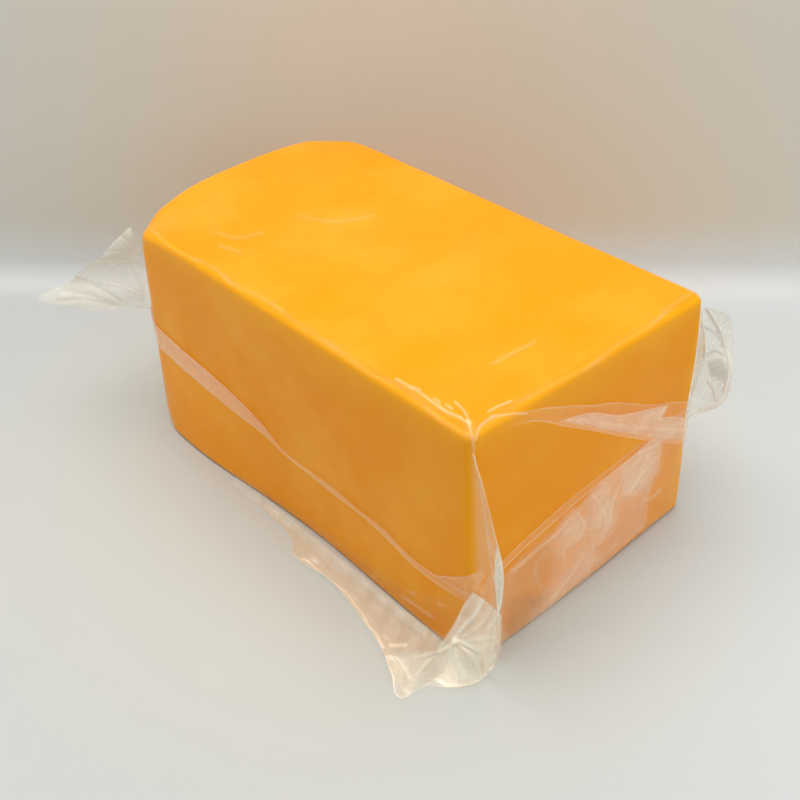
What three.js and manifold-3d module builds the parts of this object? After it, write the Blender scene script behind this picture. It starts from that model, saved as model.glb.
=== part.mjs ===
// A catering block of coloured cheddar in its clear vacuum bag.
//
// Millimetres, +Z up. The origin is the middle of the face that the block rests on. +X points along the block
// to its near end, and -Y to its near long side. The cheese is one solid. The bag is another: where it lies
// tight on the cheese it has no thickness worth a solid, so what is modelled is the film that stands clear:
// the folded seam round the sides, the ear at each upright edge, the pleat on the near end and the skirt that
// spreads on the table at the near corner.
import * as THREE from "three";
import { mergeVertices } from "three/addons/utils/BufferGeometryUtils.js";
import Module from "manifold-3d";

const wasm = await Module();
wasm.setup();

const { lerp, smoothstep, degToRad, euclideanModulo } = THREE.MathUtils;

// The block
const LENGTH = 256;
const WIDTH = 140;
const HEIGHT = 130;
const EDGE_RADIUS = 5;
const FOOT_RADIUS = 3; // along the foot, which its own weight has pressed square
const FAR_CORNER = { foot: 14, top: 21 }; // how far back the far end's upright edges are rounded off
const FAR_CUT = 1.35; // how they are rounded in plan: 1 is a flat cut, 2 a quarter of a circle
const CROWN = 0.9; // how far the middle of the top stands above its rim
const CROWN_FADE = 4; // how quickly the crown dies away below the top, as a power of the height
const FLAT_STEPS = { x: 18, y: 12, z: 10 };
const EDGE_STEPS = 3;
const CROWDING = 0.5; // how much closer the mesh lines stand near the edges: 0 evenly, 1 most

// The film, doubled and with a little air in it wherever it stands clear of the cheese
const FILM = 0.8;
const GAP = 0.45; // between the cheese and the film's inner face
const SKIN = GAP + FILM / 2; // from the cheese to the middle of the film
const FLOOR = 0.3 + FILM / 2; // lowest middle of the film over the table
const LAP = 0.45; // how much further out a second layer of film lies
const EAR_ROOT = GAP + 0.4; // from the cheese to where an ear starts, inside the seam's thickness
const SKIRT_ROOT = SKIN + 0.15; // the same for the skirt
const ROWS = { seam: 2, pleat: 4, skirt: 6 }; // of faces across each
const EAR_WAVE = { number: 1.1, lean: 2.6 }; // waves up an ear, and radians that they lean by its free edge
const SKIRT_PLEATS = { depth: 0.05, pitch: 15 }; // depth as a share of the height that the film leaves at
const SKIRT_LINES = { steps: 44, crowding: 0.8 }; // under 1, they close up towards the corner

// Meshing
const MERGE = 1e-4; // corners closer than this are one
const NUDGE = 1e-3; // the step, in a sheet's own measures, that its direction is taken over
const CLEAR_OF_END = 1; // no mesh line comes closer than this to the end of a band

const HALF = { x: LENGTH / 2, y: WIDTH / 2 };

// Where the flat of each face ends and the edge rounding begins
const FLAT = new THREE.Box3(
  new THREE.Vector3(EDGE_RADIUS - HALF.x, EDGE_RADIUS - HALF.y, FOOT_RADIUS),
  new THREE.Vector3(HALF.x - EDGE_RADIUS, HALF.y - EDGE_RADIUS, HEIGHT - EDGE_RADIUS),
);

const CHEESE = new THREE.MeshStandardMaterial({ color: 0xf7a11f, roughness: 0.42, metalness: 0 });
const CLEAR_FILM = new THREE.MeshStandardMaterial({
  color: 0xe9e4da,
  roughness: 0.12,
  metalness: 0,
  transparent: true,
  opacity: 0.35,
});

// Where the block has slumped or been pressed out of square: each entry pushes all that is within its reach.
const SETTLINGS = [
  { at: [-HALF.x, -HALF.y, HEIGHT], reach: 29, push: [4, 2, -10] }, // far near-side shoulder
  { at: [-HALF.x, HALF.y, HEIGHT], reach: 26, push: [1, 0, -3] }, // far back shoulder
  { at: [-HALF.x, 10, HEIGHT], reach: 70, push: [-2, 0, 0] }, // far end, leaning out
  { at: [-HALF.x + 45, -HALF.y, 0], reach: 42, push: [0, -3.5, 0] }, // far foot
  { at: [18, -HALF.y, 0], reach: 48, push: [0, 2.4, 0] }, // hollow along the near side's foot
  { at: [HALF.x, HALF.y, 70], reach: 75, push: [2.5, 3, 0] }, // right edge, leaning out
  { at: [HALF.x, HALF.y, 62], reach: 30, push: [-1, -2.5, 0] }, // waist of the near end
  { at: [HALF.x, HALF.y, 0], reach: 55, push: [-3.5, 5.5, 0] }, // right foot
].map(({ at, reach, push }) => ({ at: new THREE.Vector3(...at), reach, push: new THREE.Vector3(...push) }));

// The four upright edges, as distances round the block's square-cut plan from the far near-side edge
const ROUND = 2 * (LENGTH + WIDTH);
const EDGE = { far: 0, front: LENGTH, right: LENGTH + WIDTH, back: 2 * LENGTH + WIDTH };

/** Evenly spaced lines from 0 to 1. */
const shares = (steps) => Array.from({ length: steps + 1 }, (_, step) => step / steps);

/** The mesh lines along one axis: close together round the edges, wider on the flat. */
function meshLines(axis) {
  const { min, max } = FLAT;
  const flat = shares(FLAT_STEPS[axis]).map((share) => {
    const crowded = (1 - Math.cos(share * Math.PI)) / 2;
    return lerp(min[axis], max[axis], lerp(share, crowded, CROWDING));
  });
  const firstRadius = axis === "z" ? FOOT_RADIUS : EDGE_RADIUS;
  const round = shares(EDGE_STEPS).slice(1).map((share) => Math.tan((share * Math.PI) / 4));
  const first = round.map((out) => min[axis] - firstRadius * out).reverse();
  return [...first, ...flat, ...round.map((out) => max[axis] + EDGE_RADIUS * out)];
}

/** Rounds the far end's upright edges in plan, most of all at the top. A lifted point keeps its distance. */
function roundFarEnd(point, lift) {
  const corner = lerp(FAR_CORNER.foot, FAR_CORNER.top, smoothstep(point.z, 0, HEIGHT));
  const depth = corner - HALF.x - point.x;
  const breadth = corner - HALF.y + Math.abs(point.y);
  if (depth <= 0 || breadth <= 0) return;
  const furthest = Math.max(depth, breadth);
  const lost = lift * (1 - (furthest - corner + EDGE_RADIUS) / (EDGE_RADIUS + lift));
  const across = (depth ** FAR_CUT + breadth ** FAR_CUT) ** (1 / FAR_CUT);
  const slant = Math.hypot(depth ** (FAR_CUT - 1), breadth ** (FAR_CUT - 1)) / across ** (FAR_CUT - 1);
  const drawIn = (furthest + lost + lift * (slant - 1)) / across;
  point.x = corner - HALF.x - depth * drawIn;
  point.y = Math.sign(point.y) * (HALF.y - corner + breadth * drawIn);
}

/** Moves a point with the places where the block has settled, leaving its foot flat on the table. */
function settle(point) {
  const before = point.clone();
  const share = before.z / HEIGHT;
  for (const { at, reach, push } of SETTLINGS) {
    const pull = Math.exp(-((before.distanceTo(at) / reach) ** 2));
    point.add(new THREE.Vector3(push.x, push.y, push.z * share).multiplyScalar(pull));
  }
  const dome = Math.cos((Math.PI * before.x) / LENGTH) * Math.cos((Math.PI * before.y) / WIDTH);
  point.z += CROWN * Math.max(0, dome) * share ** CROWN_FADE;
}

/** Takes a point on the square-cut block to the finished block, or to `lift` outside it. */
function shaped(point, lift = 0) {
  const flat = FLAT.clampPoint(point, new THREE.Vector3());
  const out = point.clone().sub(flat);
  const under = out.z < 0;
  if (under) out.z *= EDGE_RADIUS / FOOT_RADIUS;
  out.normalize();
  const radius = EDGE_RADIUS + lift;
  const spread = under ? (EDGE_RADIUS - FOOT_RADIUS) * (1 - Math.hypot(out.x, out.y)) : 0;
  const made = new THREE.Vector3(
    flat.x * (1 + spread / FLAT.max.x) + radius * out.x,
    flat.y * (1 + spread / FLAT.max.y) + radius * out.y,
    flat.z + (under ? FOOT_RADIUS : radius) * out.z,
  );
  roundFarEnd(made, lift);
  settle(made);
  return made;
}

/** The point at a distance round the block and a height, `lift` outside the cheese. */
function onSide(distance, height, lift = SKIN) {
  const way = euclideanModulo(distance, ROUND);
  const alongSides = [
    () => [way - HALF.x, -HALF.y],
    () => [HALF.x, way - EDGE.front - HALF.y],
    () => [HALF.x - (way - EDGE.right), HALF.y],
    () => [-HALF.x, HALF.y - (way - EDGE.back)],
  ];
  const side = Object.values(EDGE).findLastIndex((edge) => way >= edge);
  return shaped(new THREE.Vector3(...alongSides[side](), height), lift);
}

/** The mesh lines round the four sides, between two distances, so that film and cheese are faceted alike. */
function linesRound(from, to) {
  const x = meshLines("x").slice(0, -1).map((line) => line + HALF.x);
  const y = meshLines("y").slice(0, -1).map((line) => line + HALF.y);
  const once = [
    ...x,
    ...y.map((line) => EDGE.front + line),
    ...x.map((line) => EDGE.right + line),
    ...y.map((line) => EDGE.back + line),
  ];
  return [from, ...once.filter((line) => line > from + CLEAR_OF_END && line < to - CLEAR_OF_END), to];
}

/** A smooth function through a few stations, each [place, value, value, ...]. */
function through(stations) {
  const places = stations.map(([place]) => place);
  const values = stations.flatMap(([, ...rest]) => rest);
  const curve = new THREE.CubicInterpolant(places, values, stations[0].length - 1);
  return (place) => Array.from(curve.evaluate(place));
}

/** The unit vector of a compass bearing, in degrees from +X towards +Y. */
const heading = (bearing) => new THREE.Vector3(Math.cos(degToRad(bearing)), Math.sin(degToRad(bearing)), 0);

/** A solid from a geometry, ready for joining. */
function solidOf(geometry) {
  const merged = mergeVertices(geometry, MERGE);
  return new wasm.Manifold(
    new wasm.Mesh({
      numProp: 3,
      vertProperties: merged.attributes.position.array,
      triVerts: new Uint32Array(merged.index.array),
    }),
  );
}

/** The geometry of a joined solid. */
function geometryOf(solid) {
  const { vertProperties, triVerts } = solid.getMesh();
  const geometry = new THREE.BufferGeometry();
  geometry.setAttribute("position", new THREE.BufferAttribute(vertProperties, 3));
  geometry.setIndex(new THREE.BufferAttribute(triVerts, 1));
  geometry.computeVertexNormals();
  return geometry;
}

/** A thin closed solid, half its thickness either side of the surface at(u, v). */
function sheet(at, uLines, vLines, closed = false) {
  const positions = [];
  for (const side of [1, -1]) {
    for (const v of vLines) {
      for (const u of uLines) {
        const across = at(u + NUDGE, v).sub(at(u - NUDGE, v));
        const up = at(u, v + NUDGE).sub(at(u, v - NUDGE));
        const normal = across.cross(up).normalize();
        positions.push(...at(u, v).addScaledVector(normal, (side * FILM) / 2));
      }
    }
  }
  const columns = uLines.length;
  const rows = vLines.length;
  const front = (row, column) => row * columns + (column % columns);
  const back = (row, column) => front(row, column) + rows * columns;
  const faces = [];
  const quad = (a, b, c, d) => faces.push(a, b, c, a, c, d);
  const spans = closed ? columns : columns - 1;
  for (let column = 0; column < spans; column += 1) {
    const next = column + 1;
    for (let row = 0; row < rows - 1; row += 1) {
      quad(front(row, column), front(row, next), front(row + 1, next), front(row + 1, column));
      faces.push(back(row, column), back(row + 1, next), back(row, next));
      faces.push(back(row, column), back(row + 1, column), back(row + 1, next));
    }
    quad(front(0, next), front(0, column), back(0, column), back(0, next));
    quad(front(rows - 1, column), front(rows - 1, next), back(rows - 1, next), back(rows - 1, column));
  }
  for (let row = 0; row < rows - 1 && !closed; row += 1) {
    quad(front(row, 0), front(row + 1, 0), back(row + 1, 0), back(row, 0));
    const last = columns - 1;
    quad(front(row + 1, last), front(row, last), back(row, last), back(row + 1, last));
  }
  const geometry = new THREE.BufferGeometry();
  geometry.setAttribute("position", new THREE.Float32BufferAttribute(positions, 3));
  geometry.setIndex(faces);
  return solidOf(geometry);
}

/** The cheese: a box whose mesh lines crowd towards its edges, rounded and settled. */
function cheddarBlock() {
  const lines = { x: meshLines("x"), y: meshLines("y"), z: meshLines("z") };
  const steps = { x: lines.x.length - 1, y: lines.y.length - 1, z: lines.z.length - 1 };
  const geometry = new THREE.BoxGeometry(1, 1, 1, steps.x, steps.y, steps.z);
  const position = geometry.getAttribute("position");
  const corner = new THREE.Vector3();
  for (let index = 0; index < position.count; index += 1) {
    corner.fromBufferAttribute(position, index);
    for (const axis of ["x", "y", "z"]) {
      corner[axis] = lines[axis][Math.round((corner[axis] + 0.5) * steps[axis])];
    }
    const made = shaped(corner);
    position.setXYZ(index, made.x, made.y, made.z);
  }
  geometry.deleteAttribute("normal").deleteAttribute("uv");
  return geometryOf(solidOf(geometry));
}

/** A band of film along the sides, between heights given as stations [distance round, lower, upper]. */
function band(stations, lift, rows, closed = false) {
  const heights = through(stations);
  const from = stations[0][0];
  const to = stations[stations.length - 1][0];
  const span = to - from;
  const surface = (distance, share) => {
    const place = closed ? euclideanModulo(distance, span) : distance;
    const [lower, upper] = heights(place);
    return onSide(distance, lerp(lower, upper, share), lift);
  };
  const lines = linesRound(from, to);
  return sheet(surface, closed ? lines.slice(0, -1) : lines, shares(rows), closed);
}

/** The bag's folded side seam, pulled flat right round the block by the vacuum. */
function seam() {
  const farEdge = [59, 74];
  return band(
    [
      [EDGE.far, ...farEdge],
      [36, 54.5, 68],
      [89, 49.5, 61],
      [112, 48, 54],
      [130, 43, 47.5],
      [164, 43, 47.5],
      [200, 41.5, 46],
      [218, 37, 41.5],
      [EDGE.front, 40, 46],
      [275, 49.5, 55],
      [300, 55.5, 61],
      [320, 59, 64.5],
      [345, 61.5, 67],
      [EDGE.right, 62, 70],
      [470, 55, 61],
      [580, 54, 61],
      [EDGE.back, 55, 70],
      [710, 53, 62],
      [ROUND, ...farEdge],
    ],
    SKIN,
    ROWS.seam,
    true,
  );
}

/** The pleat on the near end, which opens from the front top corner down to the right edge. */
function endPleat() {
  return band(
    [
      [272, 125, 129.5],
      [291, 118.5, 124.5],
      [308, 106.5, 117],
      [324, 95.5, 109],
      [340, 84, 102],
      [363, 68, 88.5],
      [377, 58, 82],
      [EDGE.right - 1, 46, 72],
    ],
    SKIN + LAP,
    ROWS.pleat,
  );
}

/**
 * An ear of film standing out from an upright edge between the heights `foot` and `top`. Its free edge goes
 * up the stations [share of the way up, reach, height], and it waves from side to side further out.
 */
function ear({ edge, bearing, foot, top, outline, wave, steps }) {
  const outward = heading(bearing);
  const sideways = heading(bearing + 90);
  const freeEdge = through(outline);
  const surface = (out, up) => {
    const root = onSide(edge, lerp(foot, top, up), EAR_ROOT);
    const [reach, height] = freeEdge(up);
    const sway = wave * Math.sin(2 * Math.PI * EAR_WAVE.number * up + EAR_WAVE.lean * out) * out;
    const tip = root.clone().addScaledVector(outward, reach).setZ(height);
    return root.lerp(tip, out).addScaledVector(sideways, sway);
  };
  return sheet(surface, shares(steps), shares(steps + 2));
}

const EARS = {
  far: {
    edge: EDGE.far,
    bearing: 225,
    foot: 72,
    top: 117,
    outline: [
      [0, 38, 74],
      [0.14, 52, 78],
      [0.34, 42, 86.5],
      [0.55, 35, 96],
      [0.78, 22, 106],
      [0.92, 12.5, 114],
      [1, 4, 122],
    ],
    wave: 4,
    steps: 8,
  },
  right: {
    edge: EDGE.right,
    bearing: 45,
    foot: 60,
    top: 122,
    outline: [
      [0, 4, 61],
      [0.12, 13, 65],
      [0.3, 18, 77],
      [0.6, 17, 97],
      [0.82, 14.5, 112],
      [1, 5, 121],
    ],
    wave: 3,
    steps: 6,
  },
  back: {
    edge: EDGE.back,
    bearing: 135,
    foot: 58,
    top: 114,
    outline: [
      [0, 8, 59],
      [0.3, 22, 72],
      [0.6, 20, 90],
      [0.85, 12, 104],
      [1, 4, 112],
    ],
    wave: 3,
    steps: 6,
  },
  front: {
    edge: EDGE.front,
    bearing: 345,
    foot: 5,
    top: 122,
    outline: [
      [0, 12, 5],
      [0.21, 19, 27],
      [0.37, 22, 46],
      [0.54, 25.5, 66],
      [0.66, 25, 80.5],
      [0.74, 18, 91],
      [0.83, 13.5, 102],
      [0.92, 8, 114],
      [1, 3, 122],
    ],
    wave: 1,
    steps: 8,
  },
};

/**
 * The film that has slid down round the front corner and spreads on the table. Each station gives the
 * distance round the block, the bearing and reach of the outer edge from there, and the height at which the
 * film leaves the block.
 */
function skirt() {
  const from = 80;
  const to = EDGE.front + 20;
  const drape = through([
    [from, 270, 5, 9],
    [112, 270, 10, 10],
    [149, 270, 17, 11],
    [174, 270, 14.5, 13],
    [201, 270, 18, 17],
    [222, 270, 23, 23],
    [237, 270, 30, 31],
    [246, 274, 34, 40],
    [251, 285, 22, 45],
    [EDGE.front, 303, 17, 46],
    [259, 325, 11, 43],
    [266, 345, 6, 32],
    [to, 358, 3, 16],
  ]);
  const surface = (distance, out) => {
    const [bearing, reach, rise] = drape(distance);
    const ripple = Math.sin((2 * Math.PI * distance) / SKIRT_PLEATS.pitch) * Math.sin(Math.PI * out);
    const point = onSide(distance, rise, SKIRT_ROOT);
    point.addScaledVector(heading(bearing), reach * out + SKIRT_PLEATS.depth * rise * ripple);
    point.z = FLOOR + (rise - FLOOR) * (1 - out) ** 2;
    return point;
  };
  const lines = shares(SKIRT_LINES.steps).map((share) => lerp(from, to, share ** SKIRT_LINES.crowding));
  return sheet(surface, lines, shares(ROWS.skirt));
}

/** The film that stands clear of the block, joined into one sheet-thin solid. */
function bagFilm() {
  const pieces = [endPleat(), skirt(), ...Object.values(EARS).map(ear)];
  return geometryOf(pieces.reduce((joined, piece) => joined.add(piece), seam()));
}

/** A mesh for one named piece. */
function named(name, geometry, material) {
  const mesh = new THREE.Mesh(geometry, material);
  mesh.name = name;
  return mesh;
}

const group = new THREE.Group();
group.add(named("cheddar_block", cheddarBlock(), CHEESE));
group.add(named("bag_film", bagFilm(), CLEAR_FILM));
export default group;
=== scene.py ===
"""Dresses a catering block of coloured cheddar that lies in its clear vacuum bag.

Fields that hold a length are in millimetres, and Blender's own units are metres. The block rests on its long
face, with +X towards its near end and -Y towards its near long side. A place on its sides is given by the
distance round the block from its far near-side edge, and by the height above the table. Places that were read
off the photograph are pixels of its 800 by 800 frame.
"""

import logging
import math
from collections.abc import Callable, Sequence
from dataclasses import dataclass
from enum import Enum
from functools import cached_property
from typing import ClassVar

import bpy
import numpy as np
from mathutils import Matrix, Vector, noise
from mathutils.bvhtree import BVHTree


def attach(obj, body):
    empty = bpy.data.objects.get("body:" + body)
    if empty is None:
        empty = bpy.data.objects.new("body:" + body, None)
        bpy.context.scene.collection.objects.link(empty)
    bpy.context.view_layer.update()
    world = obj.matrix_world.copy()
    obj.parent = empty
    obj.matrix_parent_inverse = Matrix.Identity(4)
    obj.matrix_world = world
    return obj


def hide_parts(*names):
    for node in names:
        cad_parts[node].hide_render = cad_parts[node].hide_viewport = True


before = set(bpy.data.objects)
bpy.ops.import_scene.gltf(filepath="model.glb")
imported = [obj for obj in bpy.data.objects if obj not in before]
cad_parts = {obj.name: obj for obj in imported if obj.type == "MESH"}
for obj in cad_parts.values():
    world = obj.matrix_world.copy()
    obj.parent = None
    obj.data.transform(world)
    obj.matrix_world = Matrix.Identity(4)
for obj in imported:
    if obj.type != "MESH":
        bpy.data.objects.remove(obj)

log = logging.getLogger("cheddar")

MM = 0.001
LENGTH = 256.0
WIDTH = 140.0
HEIGHT = 130.0
EDGE_FAR = 0.0
EDGE_FRONT = LENGTH
EDGE_RIGHT = LENGTH + WIDTH
EDGE_BACK = 2 * LENGTH + WIDTH
ROUND = 2 * (LENGTH + WIDTH)
MOST_FILM_LAYERS = 32
TINY = 1e-9

Numbers = tuple[float, ...]
Spot = tuple[float, float]
Surface = Callable[[float, float], Vector]
Shade = Callable[[float, float], float]


class Slot(Enum):
    """Two kinds of material: cheese and film."""

    CHEESE = "cheese"
    FILM = "film"


class Look(Enum):
    """What a mark changes in the film: each is a number that the mesh holds for its points. Three are painted
    light.
    """

    HAZE = "haze"
    # Painted highlight.
    BRIGHT = "bright"
    # Painted orange reflection of the cheese.
    WARM = "warm"
    # Painted shade.
    DARK = "dark"


def blend(low: float, high: float, share: float) -> float:
    """The value a share of the way from low to high."""
    return low + (high - low) * share


def eased(share: float | np.ndarray) -> float | np.ndarray:
    """A share from 0 to 1, made to start and end gently."""
    return share * share * (3.0 - 2.0 * share)


def smooth_step(value: float, low: float, high: float) -> float:
    """0 up to low, 1 from high on, and a smooth rise between them."""
    return eased(min(max((value - low) / (high - low), 0.0), 1.0))


def line_at(value: float, middle: float, width: float) -> float:
    """1 at the middle of a line, fading to nothing about its width away."""
    return math.exp(-(((value - middle) / width) ** 2))


def heading(bearing: float) -> Vector:
    """The level unit vector of a bearing, in degrees from +X towards +Y."""
    return Vector((math.cos(math.radians(bearing)), math.sin(math.radians(bearing)), 0.0))


@dataclass(frozen=True)
class SmoothCurve:
    """A smooth curve through stations, each a place followed by the values there."""

    stations: Sequence[Numbers]

    @cached_property
    def table(self) -> np.ndarray:
        """The stations as rows of numbers."""
        return np.array(self.stations, float)

    @cached_property
    def slopes(self) -> np.ndarray:
        """The slope at each station: the mean of the straight runs on either side of it."""
        runs = np.diff(self.table[:, 1:], axis=0) / np.diff(self.table[:, :1], axis=0)
        return np.vstack([runs[:1], (runs[1:] + runs[:-1]) / 2, runs[-1:]])

    def at(self, place: float) -> list[float]:
        """Reads the curve.

        Args:
            place: where to read it; outside the stations it stays at the nearest one.

        Returns:
            The values at that place.
        """
        places, values = self.table[:, 0], self.table[:, 1:]
        place = min(max(place, places[0]), places[-1])
        start = min(max(int(np.searchsorted(places, place)) - 1, 0), len(places) - 2)
        step = places[start + 1] - places[start]
        t = (place - places[start]) / step
        rising = (2 * t**3 - 3 * t**2 + 1) * values[start] + (3 * t**2 - 2 * t**3) * values[start + 1]
        leaning = (t**3 - 2 * t**2 + t) * self.slopes[start] + (t**3 - t**2) * self.slopes[start + 1]
        return [float(value) for value in rising + step * leaning]


@dataclass(frozen=True)
class PhotoView:
    """Where the photograph was taken from, which ties its pixels to places on the block."""

    azimuth: float = 50.58
    elevation: float = 37.04
    roll: float = -3.49
    stand: Numbers = (375.95, -306.3, 406.8)
    lens: float = 53.08
    sensor: float = 36.0
    pixels: float = 800.0

    @property
    def focal(self) -> float:
        """The lens's length in pixels."""
        return self.lens / self.sensor * self.pixels

    @cached_property
    def turn(self) -> Matrix:
        """The camera's turn: its columns point right, up and backwards.

        Returns:
            The turn.
        """
        return (
            Matrix.Rotation(math.radians(self.azimuth), 3, "Z")
            @ Matrix.Rotation(math.radians(90.0 - self.elevation), 3, "X")
            @ Matrix.Rotation(math.radians(self.roll), 3, "Z")
        )

    def camera(self) -> bpy.types.Object:
        """Puts the scene's camera there.

        Returns:
            The camera.
        """
        bpy.ops.object.camera_add(location=Vector(self.stand) * MM, rotation=self.turn.to_euler())
        camera = bpy.context.object
        camera.data.lens = self.lens
        camera.data.sensor_width = self.sensor
        bpy.context.scene.camera = camera
        return camera

    def pixels_of(self, points: np.ndarray) -> np.ndarray:
        """The pixel that shows each point.

        Args:
            points: places in metres, one a row.

        Returns:
            Their pixels, one a row.
        """
        seen = (points / MM - np.array(self.stand)) @ np.array(self.turn)
        across, down = -seen[:, 0] / seen[:, 2], seen[:, 1] / seen[:, 2]
        middle = self.pixels / 2
        return np.stack([middle + self.focal * across, middle + self.focal * down], axis=1)

    def ray(self, pixel: Spot) -> Vector:
        """The unit vector from the camera through a pixel."""
        middle = self.pixels / 2
        return (self.turn @ Vector((pixel[0] - middle, middle - pixel[1], -self.focal))).normalized()


PHOTO = PhotoView()


def shortest(pixels: np.ndarray, run: Sequence[Sequence[float]]) -> np.ndarray:
    """How far each pixel is from a run of straight lines.

    Args:
        pixels: the places to test, one a row.
        run: the lines' ends, in order.

    Returns:
        One distance for each place.
    """
    nearest = np.full(len(pixels), np.inf)
    ends = [np.array(end, float) for end in run]
    for first, second in zip(ends, ends[1:]):
        along = second - first
        share = np.clip((pixels - first) @ along / max(along @ along, TINY), 0.0, 1.0)
        nearest = np.minimum(nearest, np.linalg.norm(pixels - first - share[:, None] * along, axis=1))
    return nearest


@dataclass(frozen=True)
class Crease:
    """A fold line in the film, through a few pixels of the photograph, raised a little and drawn as a painted
    highlight unless given another look. Its width and step are in pixels.
    """

    path: Sequence[Spot]
    width: float = 0.9
    strength: float = 1.0
    rise: float = 0.25
    look: Look = Look.BRIGHT
    step: float = 2.0

    def mask(self, pixels: np.ndarray) -> np.ndarray:
        """How strongly the crease shows at each pixel, from 0 to 1.

        Args:
            pixels: the places to test, one a row.

        Returns:
            One number for each place.
        """
        lengths = [0.0]
        for first, second in zip(self.path, self.path[1:]):
            lengths.append(lengths[-1] + math.dist(first, second))
        curve = SmoothCurve([(length, *pixel) for length, pixel in zip(lengths, self.path)])
        steps = max(int(lengths[-1] / self.step), 2)
        run = [curve.at(lengths[-1] * step / steps) for step in range(steps + 1)]
        return np.exp(-((shortest(pixels, run) / self.width) ** 2))

    def laid_over(self, values: np.ndarray, mask: np.ndarray) -> np.ndarray:
        """The look's values with the crease drawn over them."""
        return np.maximum(values, self.strength * mask)


@dataclass(frozen=True)
class Veil:
    """A patch of film with a look of its own. Its outline is in pixels, and so is its soft edge."""

    outline: Sequence[Spot]
    strength: float = 1.0
    soft: float = 1.5
    rise: float = 0.0
    look: Look = Look.HAZE

    def mask(self, pixels: np.ndarray) -> np.ndarray:
        """How far inside the patch each pixel is: 0 outside it, 1 well inside.

        Args:
            pixels: the places to test, one a row.

        Returns:
            One number for each place.
        """
        inside = np.zeros(len(pixels), bool)
        ring = [*self.outline, self.outline[0]]
        for first, second in zip(ring, ring[1:]):
            crosses = (first[1] > pixels[:, 1]) != (second[1] > pixels[:, 1])
            slope = (second[0] - first[0]) / ((second[1] - first[1]) or TINY)
            inside ^= crosses & (pixels[:, 0] < first[0] + (pixels[:, 1] - first[1]) * slope)
        nearest = shortest(pixels, ring)
        return eased(np.clip(np.where(inside, nearest, -nearest) / self.soft / 2 + 0.5, 0.0, 1.0))

    def laid_over(self, values: np.ndarray, mask: np.ndarray) -> np.ndarray:
        """The look's values with the patch's own in its place."""
        return values * (1.0 - mask) + self.strength * mask


class NodeBench:
    """Adds shader nodes to one tree and joins them."""

    def __init__(self, tree: bpy.types.NodeTree) -> None:
        """Takes the tree to work in."""
        self.tree = tree

    def add(self, kind: str, inputs: dict | None = None, **settings: object) -> bpy.types.Node:
        """Adds a node.

        Args:
            kind: the node's type, without its opening words.
            inputs: values or sockets for its inputs, by name or number.
            settings: values for the node's own settings.

        Returns:
            The node.
        """
        node = self.tree.nodes.new(kind if kind.startswith("NodeGroup") else "ShaderNode" + kind)
        for name, value in settings.items():
            setattr(node, name, value)
        for key, value in (inputs or {}).items():
            if isinstance(value, bpy.types.NodeSocket):
                self.tree.links.new(value, node.inputs[key])
            else:
                node.inputs[key].default_value = value
        return node

    def math(self, operation: str, first: object, second: object = 0.0, third: object = 0.0) -> object:
        """The socket with the result of one sum."""
        return self.add("Math", {0: first, 1: second, 2: third}, operation=operation).outputs[0]

    def mix(self, share: object, first: object, second: object) -> object:
        """The socket with a mix of two colours."""
        return self.add("Mix", {0: share, 6: first, 7: second}, data_type="RGBA").outputs[2]

    def spots(self, vector: object, scale: float, detail: float, low: float, high: float) -> object:
        """The socket with soft spots: 0 where the noise is under low, 1 where it is over high.

        Args:
            vector: the socket with the place.
            scale: how many spots there are in a metre.
            detail: how many finer noises are added.
            low: the noise at which the spots start.
            high: the noise at which they are full.

        Returns:
            The socket.
        """
        cloud = self.add("TexNoise", {"Vector": vector, "Scale": scale, "Detail": detail})
        ends = {0: cloud.outputs[0], 1: low, 2: high}
        return self.add("MapRange", ends, interpolation_type="SMOOTHSTEP").outputs[0]

    def rise(self, length: object, low: float, high: float) -> object:
        """The socket with a smooth share: 0 where a length is the low one, 1 where it is the high one."""
        ends = {0: length, 1: low * MM, 2: high * MM}
        return self.add("MapRange", ends, interpolation_type="SMOOTHSTEP").outputs[0]

    def attribute(self, name: str) -> object:
        """The socket with a number that the mesh holds for each of its points."""
        return self.add("Attribute", attribute_name=name).outputs["Fac"]

    def place(self) -> object:
        """The socket with the place on the piece."""
        return self.add("TexCoord").outputs["Object"]


def new_material(name: str) -> tuple[bpy.types.Material, NodeBench, bpy.types.Node]:
    """A material with a Principled shader on its output.

    Args:
        name: what to call it.

    Returns:
        The material, a bench for its nodes, and the Principled node.
    """
    material = bpy.data.materials.new(name)
    material.use_nodes = True
    return material, NodeBench(material.node_tree), material.node_tree.nodes["Principled BSDF"]


def new_group(
    name: str, inputs: dict[str, str], outputs: dict[str, str]
) -> tuple[bpy.types.NodeTree, NodeBench, bpy.types.Node, bpy.types.Node]:
    """An empty node group with its sockets.

    Args:
        name: what to call it.
        inputs: the kind of each input socket, by name.
        outputs: the kind of each output socket, by name.

    Returns:
        The group, a bench for its nodes, and its input and output nodes.
    """
    group = bpy.data.node_groups.new(name, "ShaderNodeTree")
    for way, sockets in (("INPUT", inputs), ("OUTPUT", outputs)):
        for socket, kind in sockets.items():
            group.interface.new_socket(socket, in_out=way, socket_type="NodeSocket" + kind)
    bench = NodeBench(group)
    return group, bench, bench.add("NodeGroupInput"), bench.add("NodeGroupOutput")


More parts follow.
